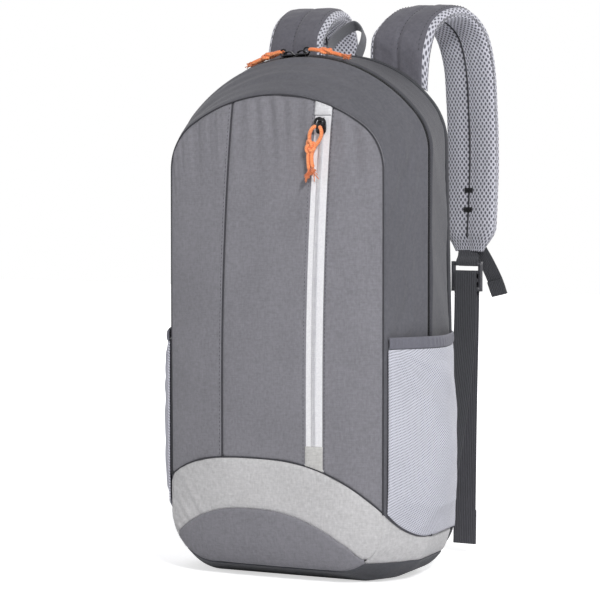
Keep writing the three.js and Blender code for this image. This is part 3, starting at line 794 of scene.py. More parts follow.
z = np.linspace(COIL_FOOT, COIL_HEAD, 200)
line = along_front(np.full_like(z, FRONT_ZIP_X), z, 0.15)
sideways = np.broadcast_to([1.0, 0, 0], line.shape)
front_coil = add_mesh("front zip coil", [coil(line, sideways, 1.7, 0.5, 1.5, 0.36)],
                      [white_nylon])
folding(front_coil, "white_tape", "front_zip_coil", "front_zip_coil_top")


def patch_shape(x, z, edges):
    u0, u1, v0, v1 = edges
    near = np.minimum(np.minimum(u0, u1), np.minimum(v0, v1))
    return 0.5 * (1 - bell(near, 1.2))


patch_cloth = woven("end patch cloth", "d3d3d6", contrast=0.12)
foot_cloth = woven("foot patch cloth", "bdbcba", contrast=0.12)
across_zip = np.linspace(-1, 1, 20) * (SLOT_HALF + 0.6) + FRONT_ZIP_X
head_patch = front_sheet("front zip head patch", across_zip, lambda x: COIL_HEAD + 1.5 + 0 * x,
                         lambda x: np.minimum(PATCH_TOP, front_top(x) - 0.6), 20, patch_cloth,
                         patch_shape, behind=-0.3)
settle(head_patch, "white_tape", "flap", "front_zip_end_top")
foot_patch = front_sheet("front zip foot patch", across_zip, lambda x: band_top(x) + 0.5,
                         lambda x: COIL_FOOT - 1 + 0 * x, 24, foot_cloth, patch_shape,
                         behind=0.1)
settle(foot_patch, "pale_cloth", "bag", "front_zip_end_bottom")

rows = []
STITCH = 3.0
for x, low, high in ((FRONT_ZIP_X - SLOT_HALF - 2.0, 91, 366),
                     (FRONT_ZIP_X + SLOT_HALF + 2.0, 86, 361), (SEAM_X - 2.0, 96, 366)):
    z = np.arange(low, high, STITCH)
    at = along_front(np.full_like(z, x), z, 0.1)
    rows.append(stitches(at, np.gradient(at, axis=0), np.array([[0, -1.0, 0]])))
zip_stitches = add_mesh("front seam stitches", rows, [thread])
folding(zip_stitches, "dark_cloth")

# Painted shade along the front's seams: thin strips of dark cloth sunk just behind the top edge,
# the left seam and the band's top, so that they show as dark lines in the seam dips.
seam_shade_cloth = plain_nylon("seam shade cloth", "36363b", 0.8)
t = np.linspace(-1, 1, 300)
foot = np.where(t > 0, side_band_top(1, FRONT["y"]), side_band_top(-1, FRONT["y"]))
edge_shade_line = arch(t[:, None], np.array([[FRONT["y"] - 0.3]]), foot[:, None], 0.75)[:, 0]
z = np.linspace(float(band_top(SEAM_X)), float(front_top(np.array(SEAM_X))), 150)
left_shade_line = along_front(np.full_like(z, SEAM_X), z, -0.75)
x = np.linspace(-REACH_X, REACH_X, 200)
band_shade_line = along_front(x, band_top(x), -0.7)
thin = oval(1.5, 1.1, 8)
seam_shade_lines = add_mesh("front seam lines", [sweep(edge_shade_line, (0, 1.0, 0), thin),
                                           sweep(left_shade_line, (1.0, 0, 0), thin),
                                           sweep(band_shade_line, (0, 0, 1.0), thin * 0.8)],
                      [seam_shade_cloth])
folding(seam_shade_lines, "dark_cloth")

lining_cloth = woven("lining cloth", "8d8d92", contrast=0.2)
lining = front_sheet("front pocket lining", np.linspace(-76, 76, 50), lambda x: band_top(x) + 2,
                     lambda x: np.minimum(front_top(x) - 6, FOLD - 3), 60, lining_cloth,
                     flat_shape, behind=2.4, thickness=0.6)
settle(lining, "foam", "bag", "front_pocket_lining")

# --------------------
# Main zip: black tapes under the cloth edges and two rows of nylon coil, over the arch and down
# both sides. The rear half is sewn to the bag.
ZIP_FOOT = 60
TAPE_BEHIND = 1.7
black_tape = ribbed("black zip tape", "2b2b30", 1.2, relief=0.3)
black_nylon = plain_nylon("black coil nylon", "1d1d20", 0.35)
t = np.linspace(-1, 1, 320)
for name, way in (("rear", 1), ("front", -1)):
    y = ZIP["y"] + way * np.linspace(0.3, 10, 6)[None, :]
    surface = arch(t[:, None], y, ZIP_FOOT, TAPE_BEHIND)
    out = outward(surface)
    piece = cloth_sheet(f"main zip tape {name}", surface, out, black_tape, thickness=0.7)
    y = np.array([ZIP["y"] + way * 0.75])
    line = arch(t[:, None], y, ZIP_FOOT, 0.9)[:, 0]
    depth_way = np.broadcast_to([0, 1.0, 0], line.shape)
    teeth = add_mesh(f"main zip coil {name}", [coil(line, depth_way, 0.8, 0.55, 2.1, 0.34)],
                     [black_nylon])
    if name == "rear":
        settle(piece, "webbing", "bag", "main_zip_tape_rear")
        settle(teeth, "coil", "bag", "main_zip_coil_rear")
    else:
        sides = ("front", "left", "right")
        folding(piece, "webbing", *(f"main_zip_tape_{part}" for part in sides))
        folding(teeth, "coil", *(f"main_zip_coil_{part}" for part in sides))

# --------------------
# Sliders: black painted zinc, a shield-shaped body with side flanges, an arched bridge and a
# round eye through it. One runs on the front zip and two meet near the top of the main zip.
MEET_ANGLE = np.radians(-3.5)
MAIN_LENGTH = 11
SLIDER_Z = 346
black_paint = plain_nylon("black slider paint", "1b1b1e", 0.3, 0.2, metallic=0.5)


def pebble(shape, levels):
    """A closed part: a flat outline carried through levels of (scale, height)."""
    levels = np.asarray(levels, float)
    flat = shape[None] * levels[:, None, :1]
    high = np.broadcast_to(levels[:, None, 1:], flat[..., :1].shape)
    rings = np.concatenate([flat, high], -1)
    uv = rings[..., :2].reshape(-1, 2)
    return rings.reshape(-1, 3), grid_faces(len(rings), len(shape), wrap=True), uv, 0


def ring(radius, wire, place, sides=36):
    """A round eye: a circle of wire in the plane through the zip's length, closed on itself."""
    a = np.linspace(0, 2 * np.pi, sides, endpoint=False)
    b = np.arange(8) * np.pi / 4
    reach = radius + wire * np.cos(b)[None, :]
    x = np.broadcast_to(wire * np.sin(b)[None, :], (sides, 8))
    points = np.stack([x, reach * np.cos(a)[:, None], reach * np.sin(a)[:, None]], -1)
    i, j = np.meshgrid(np.arange(sides), np.arange(8), indexing="ij")
    i1, j1 = (i + 1) % sides, (j + 1) % 8
    quads = np.stack([i * 8 + j, i * 8 + j1, i1 * 8 + j1, i1 * 8 + j], -1).reshape(-1, 4)
    vertices = points.reshape(-1, 3) + np.asarray(place)
    return vertices, quads, vertices[:, :2], 0


def slider_parts(width, length):
    """The slider lying on its zip: x across, y along the zip, z out of it."""
    a = np.linspace(0, 2 * np.pi, 40, endpoint=False)
    taper = 1 - 0.22 * np.sin(a)
    shape = np.stack([np.sign(np.cos(a)) * np.abs(np.cos(a)) ** 0.6 * width / 2 * taper,
                      np.sign(np.sin(a)) * np.abs(np.sin(a)) ** 0.7 * length / 2], -1)
    upper = pebble(shape, [(0, 0), (0.86, 0), (1, 0.4), (1, 1.0), (0.9, 1.4), (0, 1.55)])
    s = np.linspace(0, np.pi, 18)
    bridge = np.stack([0 * s, -np.cos(s) * length * 0.34, 1.1 + 2.5 * np.sin(s) ** 0.7], -1)
    arm = sweep(bridge, (1.0, 0, 0), oval(width * 0.34, 1.1, 12, 0.6))
    return [upper, arm]


def placed(parts, origin, x, y, z):
    """Parts moved to an origin, with their own x, y and z along three directions."""
    frame_axes = np.stack([np.asarray(v, float) for v in (x, y, z)])
    return [(p[0] @ frame_axes + np.asarray(origin), *p[1:]) for p in parts]


def front_frame(z):
    """A place on the front zip and its across, up and out directions."""
    ahead = along_front(np.array(FRONT_ZIP_X), np.array([z - 4.0, z, z + 4.0]), 0.5)
    up = unit(ahead[2] - ahead[0])
    side = np.array([1.0, 0, 0])
    return ahead[1], side, up, np.cross(side, up)


origin, side, up, away = front_frame(SLIDER_Z)
FRONT_WIDTH, FRONT_LENGTH = 8.4, 12
body = placed(slider_parts(FRONT_WIDTH, FRONT_LENGTH), origin, side, up, away)
EYE = 3.7
EYE_RISE = 1.6
eye = placed([ring(EYE, 1.15, (0, 0, 0))], origin + away * 5.0 + up * EYE_RISE,
             away, side * 0.92, up)
front_slider = add_mesh("front zip slider", body + eye, [black_paint])
settle(front_slider, "slider", "front_slider", "front_zip_slider")


def arch_frame(angle, radius):
    """A place over the crown arc at that angle from its top, with its across, along and out."""
    out = np.array([np.sin(angle), 0, np.cos(angle)])
    along = np.array([np.cos(angle), 0, -np.sin(angle)])
    centre = np.array([0, ZIP["y"], ZIP["top"] - ZIP["crown"]])
    return centre + out * radius, along, out


SLIDER_BACK = np.array([0, 1.0, 0])
for name, side_sign in (("left", -1), ("right", 1)):
    angle = MEET_ANGLE + side_sign * (MAIN_LENGTH / 2 + 0.6) / ZIP["crown"]
    origin, along, out = arch_frame(angle, ZIP["crown"] + 0.2)
    body = placed(slider_parts(8, MAIN_LENGTH), origin + SLIDER_BACK,
                  (0, side_sign, 0), along * -side_sign, out)
    eye_at = origin + along * side_sign * 4.2 + out * 3.4 + SLIDER_BACK
    eye = placed([ring(2.6, 0.7, (0, 0, 0))], eye_at, (0, 1.0, 0), along, out)
    main_slider = add_mesh(f"main slider {name}", body + eye, [black_paint])
    settle(main_slider, "slider", f"main_slider_{name}", f"main_slider_{name}")

# --------------------
# Zip pulls: soft orange braided cord. The front one is looped through the slider's eye, tied in
# a knot and left with two frayed ends. Each of the main zip's two is shorter, with short frays.
CORD = 3.0


def braid(name, code, deep):
    """Braided cord: strands that cross as a product of two slanting sine waves, with fuzz. The
    deep code is the cord's own orange and the lighter code a painted highlight, mixed in most on
    the raised crossings.
    """
    n = Nodes(name)
    u, v = n.thread()
    wave = 2 * np.pi / 2.36
    over = n.times(n.sine(n.times(n.plus(u, v), wave)), n.sine(n.times(n.minus(u, v), wave)))
    fuzz = n.noise(n.place(), 1400.0, 4.0)
    tone = n.plus(n.span(over, -0.9, 0.9, 0.15, 0.75), n.around(fuzz, 0.5, 0.9))
    return n.done(base_color=n.mix(tone, linear(deep), linear(code)), roughness=0.75,
                  normal=n.bump(n.plus(over, fuzz), 0.7, 0.0003), sheen_weight=0.25)


# Painted highlight: the lighter code is a highlight orange; the cord's own tones lie between it
# and the deep code.
orange = braid("orange cord", "ffb37a", "f0692a")


def smooth_path(points, count):
    """A centripetal Catmull-Rom curve through a given list of points, evenly spaced."""
    p = np.asarray(points, float)
    p = np.concatenate([[2 * p[0] - p[1]], p, [2 * p[-1] - p[-2]]])
    knots = np.concatenate([[0], np.cumsum(np.linalg.norm(np.diff(p, axis=0), axis=1) ** 0.5)])
    pieces = []
    for i in range(1, len(p) - 2):
        t = np.linspace(knots[i], knots[i + 1], 40, endpoint=i == len(p) - 3)[:, None]
        k, q = knots[i - 1 : i + 3], p[i - 1 : i + 3]
        for span in (1, 2):
            q = [((k[j + span] - t) * q[j] + (t - k[j]) * q[j + 1]) / (k[j + span] - k[j])
                 for j in range(4 - span)]
        pieces.append(((k[2] - t) * q[0] + (t - k[1]) * q[1]) / (k[2] - k[1]))
    dense = np.concatenate(pieces)
    run = lengths_of(dense[:, None], 0)[:, 0]
    s = np.linspace(0, run[-1], count)
    return np.stack([np.interp(s, run, dense[:, k]) for k in range(3)], -1)


def cord_part(path, diameter, reference):
    """A round cord along a path, rounded off over its last half diameter at each end."""
    run = lengths_of(path[:, None], 0)[:, 0]
    near = np.minimum(run, run[-1] - run)
    r = diameter / 2
    share = np.sqrt(np.clip(1 - (1 - np.minimum(near / r, 1)) ** 2, 0.02, 1))
    section = oval(diameter, diameter)[None] * share[:, None, None]
    return sweep(path, reference, section)


def fray(end, way, seed, count=24, long=7.0):
    """A tuft of thin yarns from a cord's cut end, each bent outwards by its own amount."""
    rng = np.random.default_rng(seed)
    parts = []
    for _ in range(count):
        spread = rng.normal(0, 0.32, 3)
        reach = long * rng.uniform(0.55, 1)
        s = np.linspace(0, 1, 7)[:, None]
        line = end + rng.normal(0, 0.55, 3) + (way * s + spread * s**2) * reach
        parts.append(sweep(line, (1.0, 0.2, 0.1), oval(0.75, 0.75, 5)))
    return parts


KNOT_DROP = 15.5


def hung(dx, down, lift=0.0):
    """A point on the hanging pull: dx across, down from the slider's eye, lift out of it."""
    z = SLIDER_Z - down
    x = FRONT_ZIP_X + dx
    return np.array([x, float(front_y(x, z)) - 4.6 - lift, z])


strands = {
    "left": [hung(-1.4, -0.4, 1.9), hung(-4.4, 1.8, 2.4), hung(-6.6, 5.4, 1.5),
             hung(-7.0, 9.6, 0.8), hung(-5.8, KNOT_DROP, 0.8), hung(-7.4, 21, 0.3),
             hung(-7.0, 27, 0.4), hung(-5.6, 33, 0.9)],
    "right": [hung(1.0, -0.4, 1.9), hung(3.0, 2.6, 2.2), hung(3.4, 6.6, 1.8),
              hung(1.4, 11.0, 1.3), hung(-2.0, KNOT_DROP, 1.0), hung(-4.0, 20.8, 0.8),
              hung(-3.8, 26.4, 0.8), hung(-2.2, 31.5, 1.1)],
}
TREFOIL_RADIUS, TREFOIL_SWING = 2.1, 1.15
a = np.linspace(0, 2 * np.pi, 90)
far = TREFOIL_RADIUS + TREFOIL_SWING * np.cos(3 * a)
trefoil = np.stack([far * np.cos(2 * a) * 1.15, 1.3 * np.sin(3 * a),
                    far * np.sin(2 * a) * 1.5], -1)


def zip_pull(label, body, strands, knot_parts, tufts, reference):
    """A pull: its knot, its tuft and its two strands, each a limp cord with a bare end."""
    knot = add_mesh(label.format("knot"), knot_parts, [orange])
    tuft = add_mesh(label.format("tuft"), tufts[0] + tufts[1], [orange])
    settle(knot, "orange_cord", body, body)
    settle(tuft, "orange_cord", body)
    for number, (which, points) in enumerate(strands.items()):
        path = smooth_path(points, 60)
        strand = add_mesh(label.format(which), [cord_part(path, CORD, reference)], [orange])
        settle(strand, "orange_cord", body)


def tied(points):
    """The knot: thinner cord carried round closed points."""
    return cord_part(points, CORD * 0.95, (0.1, 1.0, 0.2))


zip_pull("front pull {}", "front_pull", strands, [tied(hung(-5.4, KNOT_DROP, 1.4) + trefoil)],
         [fray(p[-1], unit(np.array([dx, -0.42, -1.0])), seed)
          for p, dx, seed in zip(strands.values(), (-0.12, 0.25), (7, 8))],
         (0.1, 1.0, 0.05))

ARCH_STRANDS = {
    "front": [(5.2, 4.4, 1.6), (8, 4.8, 1.1), (12.5, 4.6, 1.0), (17, 4.2, 2.2), (21, 4.0, 3.4),
              (26, 3.8, 3.7), (34, 3.6, 3.2)],
    "rear": [(5.2, 4.4, 3.2), (8, 4.8, 5.6), (12.5, 4.4, 7.2), (17, 3.8, 6.6), (21, 3.8, 5.0),
             (26, 3.4, 6.8), (33.5, 3.0, 8.6)],
}
KNOT_RUN, KNOT_LIFT, KNOT_BACK = 19, 4.4, 4.2
for name, side_sign in (("left", -1), ("right", 1)):
    angle = MEET_ANGLE + side_sign * (MAIN_LENGTH / 2 + 0.6) / ZIP["crown"]

    def over_arch(s, lift):
        """The frame a length s further along the arch, lift above it."""
        return arch_frame(angle + side_sign * s / ZIP["crown"], ZIP["crown"] + lift)

    strands = {which: [over_arch(s, lift)[0] + np.array([0, dy, 0]) for s, lift, dy in points]
               for which, points in ARCH_STRANDS.items()}
    here, onward, upward = over_arch(KNOT_RUN, KNOT_LIFT)
    twist = placed([tied(trefoil)], here + [0, KNOT_BACK, 0], (0, 1.0, 0), upward, onward)
    zip_pull(f"main pull {{}} {name}", f"main_pull_{name}", strands, twist,
             [fray(p[-1], unit(onward * side_sign - 0.2 * upward), seed, 16, 4.5)
              for p, seed in zip(strands.values(), (17, 18))],
             upward)

# --------------------
# Side pockets: pale warp-knit mesh with rows of small holes, sewn down at three edges, held out
# by its fullness and drawn in at the mouth by an elastic binding of ribbed tape.
POCKET_FRONT, POCKET_BACK = -38.5, 65
POCKET_TOP, BINDING_HEIGHT = 188, 9
POCKET_BULGE = 14


def knitted(name, code, hole_code, pitch, hole, relief=0.5, long=1.0):
    """Warp-knit mesh: oval holes at the corners and centres of a grid of cells, dark inside,
    with a rim that rises by the distance from the nearest hole's middle."""
    n = Nodes(name)
    u, v = n.thread()

    def gap(shift):
        """Distance to the middle of the cell that holds this point, in cells."""
        parts = []
        for value, size in ((u, pitch), (v, pitch * long)):
            cell = n.plus(n.math("DIVIDE", value, size), shift)
            offset = n.minus(n.math("FRACT", cell), 0.5)
            parts.append(n.times(offset, offset))
        return n.math("SQRT", n.plus(*parts))

    near = n.math("MINIMUM", gap(0.0), gap(0.5))
    solid = n.span(near, hole - 0.09, hole + 0.09, 0, 1)
    fuzz = n.times(n.noise(n.place(), 500.0, 3.0), 0.6)
    drift = n.times(n.noise(n.place(), 30.0), 0.4)
    yarn = n.mix(n.plus(fuzz, drift), shade(code, 0.82), shade(code, 1.18))
    return n.done(base_color=n.mix(solid, linear(hole_code), yarn), roughness=0.8,
                  normal=n.bump(solid, relief, 0.0003), sheen_weight=0.15)


pocket_mesh = knitted("pocket mesh", "cbccd6", "777884", 2.2, 0.2)
binding_tape = ribbed("pocket binding tape", "6a6a74", 1.1, relief=0.6, along=False)


def pocket_standoff(y, s):
    """How far the pocket stands off the wall: a rounded sine across it, rising from its foot."""
    across = np.clip((y - POCKET_FRONT) / (POCKET_BACK - POCKET_FRONT), 0, 1)
    rise = np.minimum(s / 0.15, 1) * (0.6 + 0.4 * np.sin(np.pi * s))
    return 0.6 + POCKET_BULGE * np.sin(np.pi * across) ** 0.7 * rise


def pocket_wall(side, y, z, reach):
    """x of the pocket, reach outside the wall: the wall's bend at the zip line is rounded by
    the mean over five nearby depths."""
    near = [np.clip(y + step, POCKET_FRONT, POCKET_BACK) for step in (-12, -6, 0, 6, 12)]
    return side * np.mean([half_width(at, z, -reach) for at in near], axis=0)


for name, side in (("left", -1), ("right", 1)):
    y = np.linspace(POCKET_FRONT, POCKET_BACK, 90)[None, :]
    s = np.linspace(0, 1, 100)[:, None]
    low = np.minimum(side_band_top(side, y), side_band_top(1, y)) + 1
    z = low + (POCKET_TOP - BINDING_HEIGHT - 0.15 - low) * s
    reach = pocket_standoff(y, s * 0.94) + 1
    surface = np.stack(np.broadcast_arrays(pocket_wall(side, y, z, reach), y, z), -1)
    out = outward(surface)
    u0, u1, v0, v1 = edge_distance(surface)
    slack = 1 - bell(np.minimum(np.minimum(u0, u1), np.minimum(v0, v1)), 9)
    corner = np.exp(-np.hypot(y - POCKET_FRONT, POCKET_TOP - z) / 60)
    angle = np.arctan2(POCKET_TOP - z, y - POCKET_FRONT + 4)
    gathers = (2.6 * corner * np.sin(angle * 15)
               + 1.3 * creases(y - 0.7 * z, 0.3 * z, 24, 40 + side))
    surface = surface + out * (slack * gathers + seam_dip(v0, 0.6, 1.4))[..., None]
    pocket = cloth_sheet(f"mesh pocket {name}", surface, out, pocket_mesh, thickness=0.8)
    settle(pocket, "mesh_cloth", "bag", f"mesh_pocket_{name}")
    wide, high = lengths_of(surface, 1)[50, -1] * MM, lengths_of(surface, 0)[-1, 45] * MM

    s = np.linspace(0, 1, 20)[:, None]
    y = np.linspace(POCKET_FRONT, POCKET_BACK, 200)[None, :]
    z = POCKET_TOP - BINDING_HEIGHT + 0.15 + (BINDING_HEIGHT - 0.15) * s
    rounding = 0.9 * (1 - np.abs(2 * s - 1) ** 4)
    reach = pocket_standoff(y, 0.95 + 0.05 * s) + 1.0 + rounding
    surface = np.stack(np.broadcast_arrays(pocket_wall(side, y, z, reach), y, z), -1)
    out = outward(surface)
    ripple = 0.28 * np.sin(2 * np.pi * y / 4.6 + 1.5 * np.sin(y / 9)) * np.sin(np.pi * s)
    surface = surface + out * ripple[..., None]
    binding = cloth_sheet(f"pocket binding {name}", surface, out, binding_tape, thickness=1.5)
    settle(binding, "charcoal_cloth", "bag", f"pocket_binding_{name}")

# --------------------
# Back: a foam pad under spacer mesh, swollen between its seams, with woven lining inside the
# bag, and a folded tape sewn over the seam round it.
PAD_INSET, PAD_MIDDLE = 1.6, 200
LINING_FOOT, LINING_THICK = 58.7, 0.8
PAD_FOOT, PAD_THICK = 60.0, 6.6
CLOTH_PRESSURE, PAD_CAP, PAD_VOXEL = 4.0, 2.2, 0.0055
back_mesh = knitted("back spacer mesh", "4c4d53", "2a2a2e", 3.0, 0.22, relief=0.7)
back_tape = ribbed("back seam tape", "3a3b40", 1.2, relief=0.4)


def back_loop(inset, count):
    """The back seam's outline as (x, z): up its right side, over the top and down its left."""
    low, high = BACK_RISE + inset, BACK["top"] - inset
    turn = np.linspace(0, np.pi, count)
    z = low + (high - low) * (1 - np.cos(turn)) / 2
    x = half_width(BACK["y"], z, inset)
    x[-1] = 0
    loop = np.concatenate([np.stack([x, z], -1), np.stack([-x, z], -1)[::-1][1:]])
    run = lengths_of(np.concatenate([loop, loop[:1]])[:, None], 0)[:, 0]
    s = np.linspace(0, run[-1], 2 * count, endpoint=False)
    closed = np.concatenate([loop, loop[:1]])
    return np.stack([np.interp(s, run, closed[:, k]) for k in range(2)], -1)


def swollen(obj, pressure, cap, voxel, pinned):
    """Blows a closed mesh up as cloth: voxel remesh, 20 frames of pressure with the pinned
    points held and no gravity, each point's move capped, then one subdivision, all applied."""

    def applied():
        graph = bpy.context.evaluated_depsgraph_get()
        mesh = bpy.data.meshes.new_from_object(obj.evaluated_get(graph))
        obj.modifiers.clear()
        obj.data = mesh

    def coordinates():
        graph = bpy.context.evaluated_depsgraph_get()
        mesh = obj.evaluated_get(graph).data
        flat = np.empty(len(mesh.vertices) * 3, np.float32)
        mesh.vertices.foreach_get("co", flat)
        return flat.reshape(-1, 3)

    remesh = obj.modifiers.new("remesh", "REMESH")
    remesh.mode, remesh.voxel_size = "VOXEL", voxel
    remesh.use_smooth_shade = True
    applied()
    start = coordinates()
    held = obj.vertex_groups.new(name="seam")
    held.add([int(k) for k in np.flatnonzero(pinned(start))], 1.0, "REPLACE")
    cloth = obj.modifiers.new("cloth", "CLOTH")
    cloth.settings.use_pressure = True
    cloth.settings.uniform_pressure_force = pressure
    cloth.settings.effector_weights.gravity = 0
    cloth.settings.vertex_group_mass = "seam"
    scene = bpy.context.scene
    for frame_number in range(1, 21):
        scene.frame_set(frame_number)
    move = coordinates() - start
    far = np.linalg.norm(move, axis=1, keepdims=True)
    moved = start + move * np.minimum(1, cap / np.maximum(far, 1e-9))
    obj.modifiers.clear()
    obj.data.vertices.foreach_set("co", moved.astype(np.float32).ravel())
    obj.data.update()
    scene.frame_set(1)
    finer = obj.modifiers.new("finer", "SUBSURF")
    finer.levels = finer.render_levels = 1
    applied()


shape = back_loop(PAD_INSET, 130) - [0, PAD_MIDDLE]
levels = [(0, 0), (0.25, 0), (0.5, 0), (0.75, 0), (0.97, 0.2), (0.995, 1.6), (0.995, 4.4),
          (0.975, 5.8), (0.75, PAD_THICK), (0.5, PAD_THICK), (0.25, PAD_THICK), (0, PAD_THICK)]
UPRIGHT = ((1, 0, 0), (0, 0, 1), (0, 1, 0))
slab = placed([pebble(shape, levels)], (0, PAD_FOOT, PAD_MIDDLE), *UPRIGHT)
back_pad = add_mesh("back pad", slab, [back_mesh])

def at_the_seam(points):
    """The points near the pad's outline and those of its inner face."""
    z = points[:, 2] / MM
    near = np.abs(points[:, 0]) / MM > half_width(BACK["y"], np.clip(z, 10, 400), 6)
    return near | (points[:, 1] / MM < PAD_FOOT + 1) | (z < 15) | (z > 395)

swollen(back_pad, CLOTH_PRESSURE, PAD_CAP * MM, PAD_VOXEL, at_the_seam)
back_pad.data.materials.clear()
back_pad.data.materials.append(back_mesh)
settle(back_pad, "mesh_cloth", "bag", "back_cover", "back_foam")

levels = [(0, 0), (0.5, 0), (0.97, 0), (0.99, LINING_THICK / 2), (0.97, LINING_THICK),
          (0.5, LINING_THICK), (0, LINING_THICK)]
sheet = placed([pebble(shape, levels)], (0, LINING_FOOT, PAD_MIDDLE), *UPRIGHT)
back_lining = add_mesh("back lining", sheet, [lining_cloth])
settle(back_lining, "webbing", "bag", "back_lining")

loop = back_loop(0.2, 260)
loop = np.concatenate([loop, loop[:1]])
path = np.stack([loop[:, 0], 0 * loop[:, 0] + BACK["y"] + 0.6, loop[:, 1]], -1)
piping = add_mesh("back seam tape", [sweep(path, (0, 1.0, 0), oval(4.2, 2.6, 12, 0.8))],
                  [back_tape])
settle(piping, "charcoal_cloth", "bag")

# --------------------
# Shoulder straps: foam under spacer mesh, the mesh turned round both edges, with a darker cloth
# cover on the outer face, quilted down its middle. Each is sewn into the back seam at the top.
STRAP_WIDTH, STRAP_THICK, STRAP_SQUARE = 50, 12.2, 0.62
STRAP_TWIST = np.radians(13)
ROUTE = [(47, 72.8, 391), (47, 73.4, 400), (47.5, 76, 412), (49, 88, 426), (52, 108, 435),
         (56.5, 132, 435), (61, 151, 423), (64, 161, 400), (65.5, 165, 360), (66.5, 165.5, 320),
         (66.5, 163, 280), (66, 160, 246)]
COVER_SHARE = 0.86
STRAP_ROWS, STRAP_SIDES, COVER_ROWS = 260, 44, 254
ROOT_X, SEAM_RADIUS = 47.0, 105.7
STITCH_AT, GROOVE_SHADE_ROWS, BAR_TACKS = np.arange(14, 250, 3), slice(6, 250), (34, 50)
strap_mesh = knitted("strap spacer mesh", "d0d0da", "5c5c66", 3.7, 0.235, relief=1.0, long=1.4)
cover_cloth = woven("strap cover cloth", "63626a", contrast=0.22)
black_thread = plain_nylon("black thread", "17171a", 0.6)


def smoothstep(x, low, high):
    """0 below low, 1 above high, and an S curve between."""
    q = np.clip((x - low) / (high - low), 0, 1)
    return q * q * (3 - 2 * q)


for name, side in (("left", -1), ("right", 1)):
    path = smooth_path([(side * x, y, z) for x, y, z in ROUTE], STRAP_ROWS)
    run = lengths_of(path[:, None], 0)[:, 0]
    t = run / run[-1]
    turn = STRAP_TWIST * smoothstep(t, 0.1, 0.5)
    across = np.stack([np.cos(turn), -side * np.sin(turn), 0 * turn], -1)
    tangent = unit(np.gradient(path, axis=0))
    across = unit(across - tangent * np.sum(across * tangent, -1, keepdims=True))
    out = np.cross(across, tangent)
    width = STRAP_WIDTH * (1 - 0.5 * smoothstep(t, 0.93, 1.02))
    thick = STRAP_THICK * (0.55 + 0.45 * smoothstep(run, 0, 26))
    thick = thick * (0.42 + 0.58 * smoothstep(run[-1] - run, 0, 16))

    def slanted(points):
        """Shears the strap's first stretch so that its root follows the back seam."""
        x = np.clip(np.abs(points[..., 0]), 0, 100)
        rise = np.sqrt(SEAM_RADIUS**2 - x**2) - np.sqrt(SEAM_RADIUS**2 - ROOT_X**2)
        share = 1 - smoothstep(np.broadcast_to(run[:, None], x.shape), 0, 40)
        return points + np.stack([0 * x, 0 * x, rise * share], -1)

    base = oval(2, 2, STRAP_SIDES, STRAP_SQUARE)
    under = base[:, 1] < 0
    groove = np.where(under, 0.34, -0.42) * bell(base[:, 0], 0.13)
    section = np.stack([base[:, 0][None] * width[:, None] / 2,
                        (base[:, 1] + groove)[None] * thick[:, None] / 2], -1)
    rings = slanted(path[:, None] + across[:, None] * section[..., :1]
                    + out[:, None] * section[..., 1:])
    wobble = 0.5 * creases(rings[..., 2] + rings[..., 1], 3 * rings[..., 0], 19, 60 + side)
    rings = rings + out[:, None] * (wobble * np.abs(base[:, 1])[None])[..., None]
    caps = [np.broadcast_to(rings[k].mean(0), rings[0].shape) for k in (0, -1)]
    rings = np.concatenate([caps[0][None], rings, caps[1][None]])
    turns = lengths_of(section[100:101], 1)[0]
    runs = np.concatenate([[0], run, [run[-1] + 3]])
    uv = np.stack(np.broadcast_arrays(turns[None, :], runs[:, None]), -1)
    body = (rings.reshape(-1, 3), grid_faces(len(rings), STRAP_SIDES, wrap=True),
            uv.reshape(-1, 2), 0)
    strap = add_mesh(f"strap padding {name}", [body], [strap_mesh])
    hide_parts(f"strap_foam_{name}", f"strap_mesh_{name}")

    q = np.linspace(-1, 1, 41)[None, :] * COVER_SHARE
    off = q * width[:, None] / 2
    power = 2 / STRAP_SQUARE
    crown = (1 - np.abs(q) ** power) ** (1 / power)
    inner = smoothstep(run[-1] - run, 3, 30)[:, None]
    s = run[:, None]
    ripple = 0.75 * creases(s * 1.9 + 6 * np.sin(q * 2), q * 14, 15, 70 + side)
    ripple = ripple + 0.5 * creases(s, q * 60, 30, 80 + side)
    edge = (COVER_SHARE - np.abs(q)) * width[:, None] / 2
    quilt = -1.5 * bell(off, 2.0) * inner
    fade = np.maximum(1 - bell(edge, 5) - bell(off, 4), 0)
    lift = 1.0 + ripple * fade + quilt - 0.75 * bell(edge, 1.3)
    high = crown * thick[:, None] / 2 + lift
    points = path[:, None] + across[:, None] * off[..., None]
    points = slanted(points + out[:, None] * high[..., None])[:COVER_ROWS]
    faces_out = normals_of(points)
    flip = np.sign(np.sum(faces_out * out[:COVER_ROWS, None], -1).mean())
    cover = cloth_sheet(f"strap cover {name}", points, faces_out * flip, cover_cloth,
                        thickness=0.9)
    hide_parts(f"strap_cover_{name}")

    rows = []
    for line in (-1, 0, 1):
        k = STITCH_AT
        where = line * (COVER_SHARE * width[k] / 2 - 2.4)
        reach = (np.interp(np.abs(where) / (width[k] / 2), q[0, 20:], crown[0, 20:])
                 * thick[k] / 2 + (1.1 if line else -0.4))
        at = path[k] + across[k] * where[:, None] + out[k] * reach[:, None]
        rows.append(stitches(at, tangent[k], out[k], 2.2, 0.6))
    for place_back in BAR_TACKS:
        k = int(np.searchsorted(run, run[-1] - place_back))
        for row in np.linspace(-1.6, 1.6, 6):
            at = path[k] + across[k] * np.linspace(-4.5, 4.5, 12)[:, None] + tangent[k] * row
            at = at - out[k] * thick[k] / 2 * 0.84
            rows.append(stitches(at, across[k][None], -out[k][None], 1.4, 0.9))
    # Painted shade in the groove down the middle of the under face: a strip of the dark seam
    # shade cloth, sunk along it.
    groove_shade = (path - out * (thick[:, None] / 2 * 0.7))[GROOVE_SHADE_ROWS]
    rows.append(sweep(groove_shade, across[GROOVE_SHADE_ROWS], oval(1.7, 1.3, 8), 1))
    seams = add_mesh(f"strap stitches {name}", rows, [black_thread, seam_shade_cloth])
    for piece in (strap, cover, seams):
        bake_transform(piece)

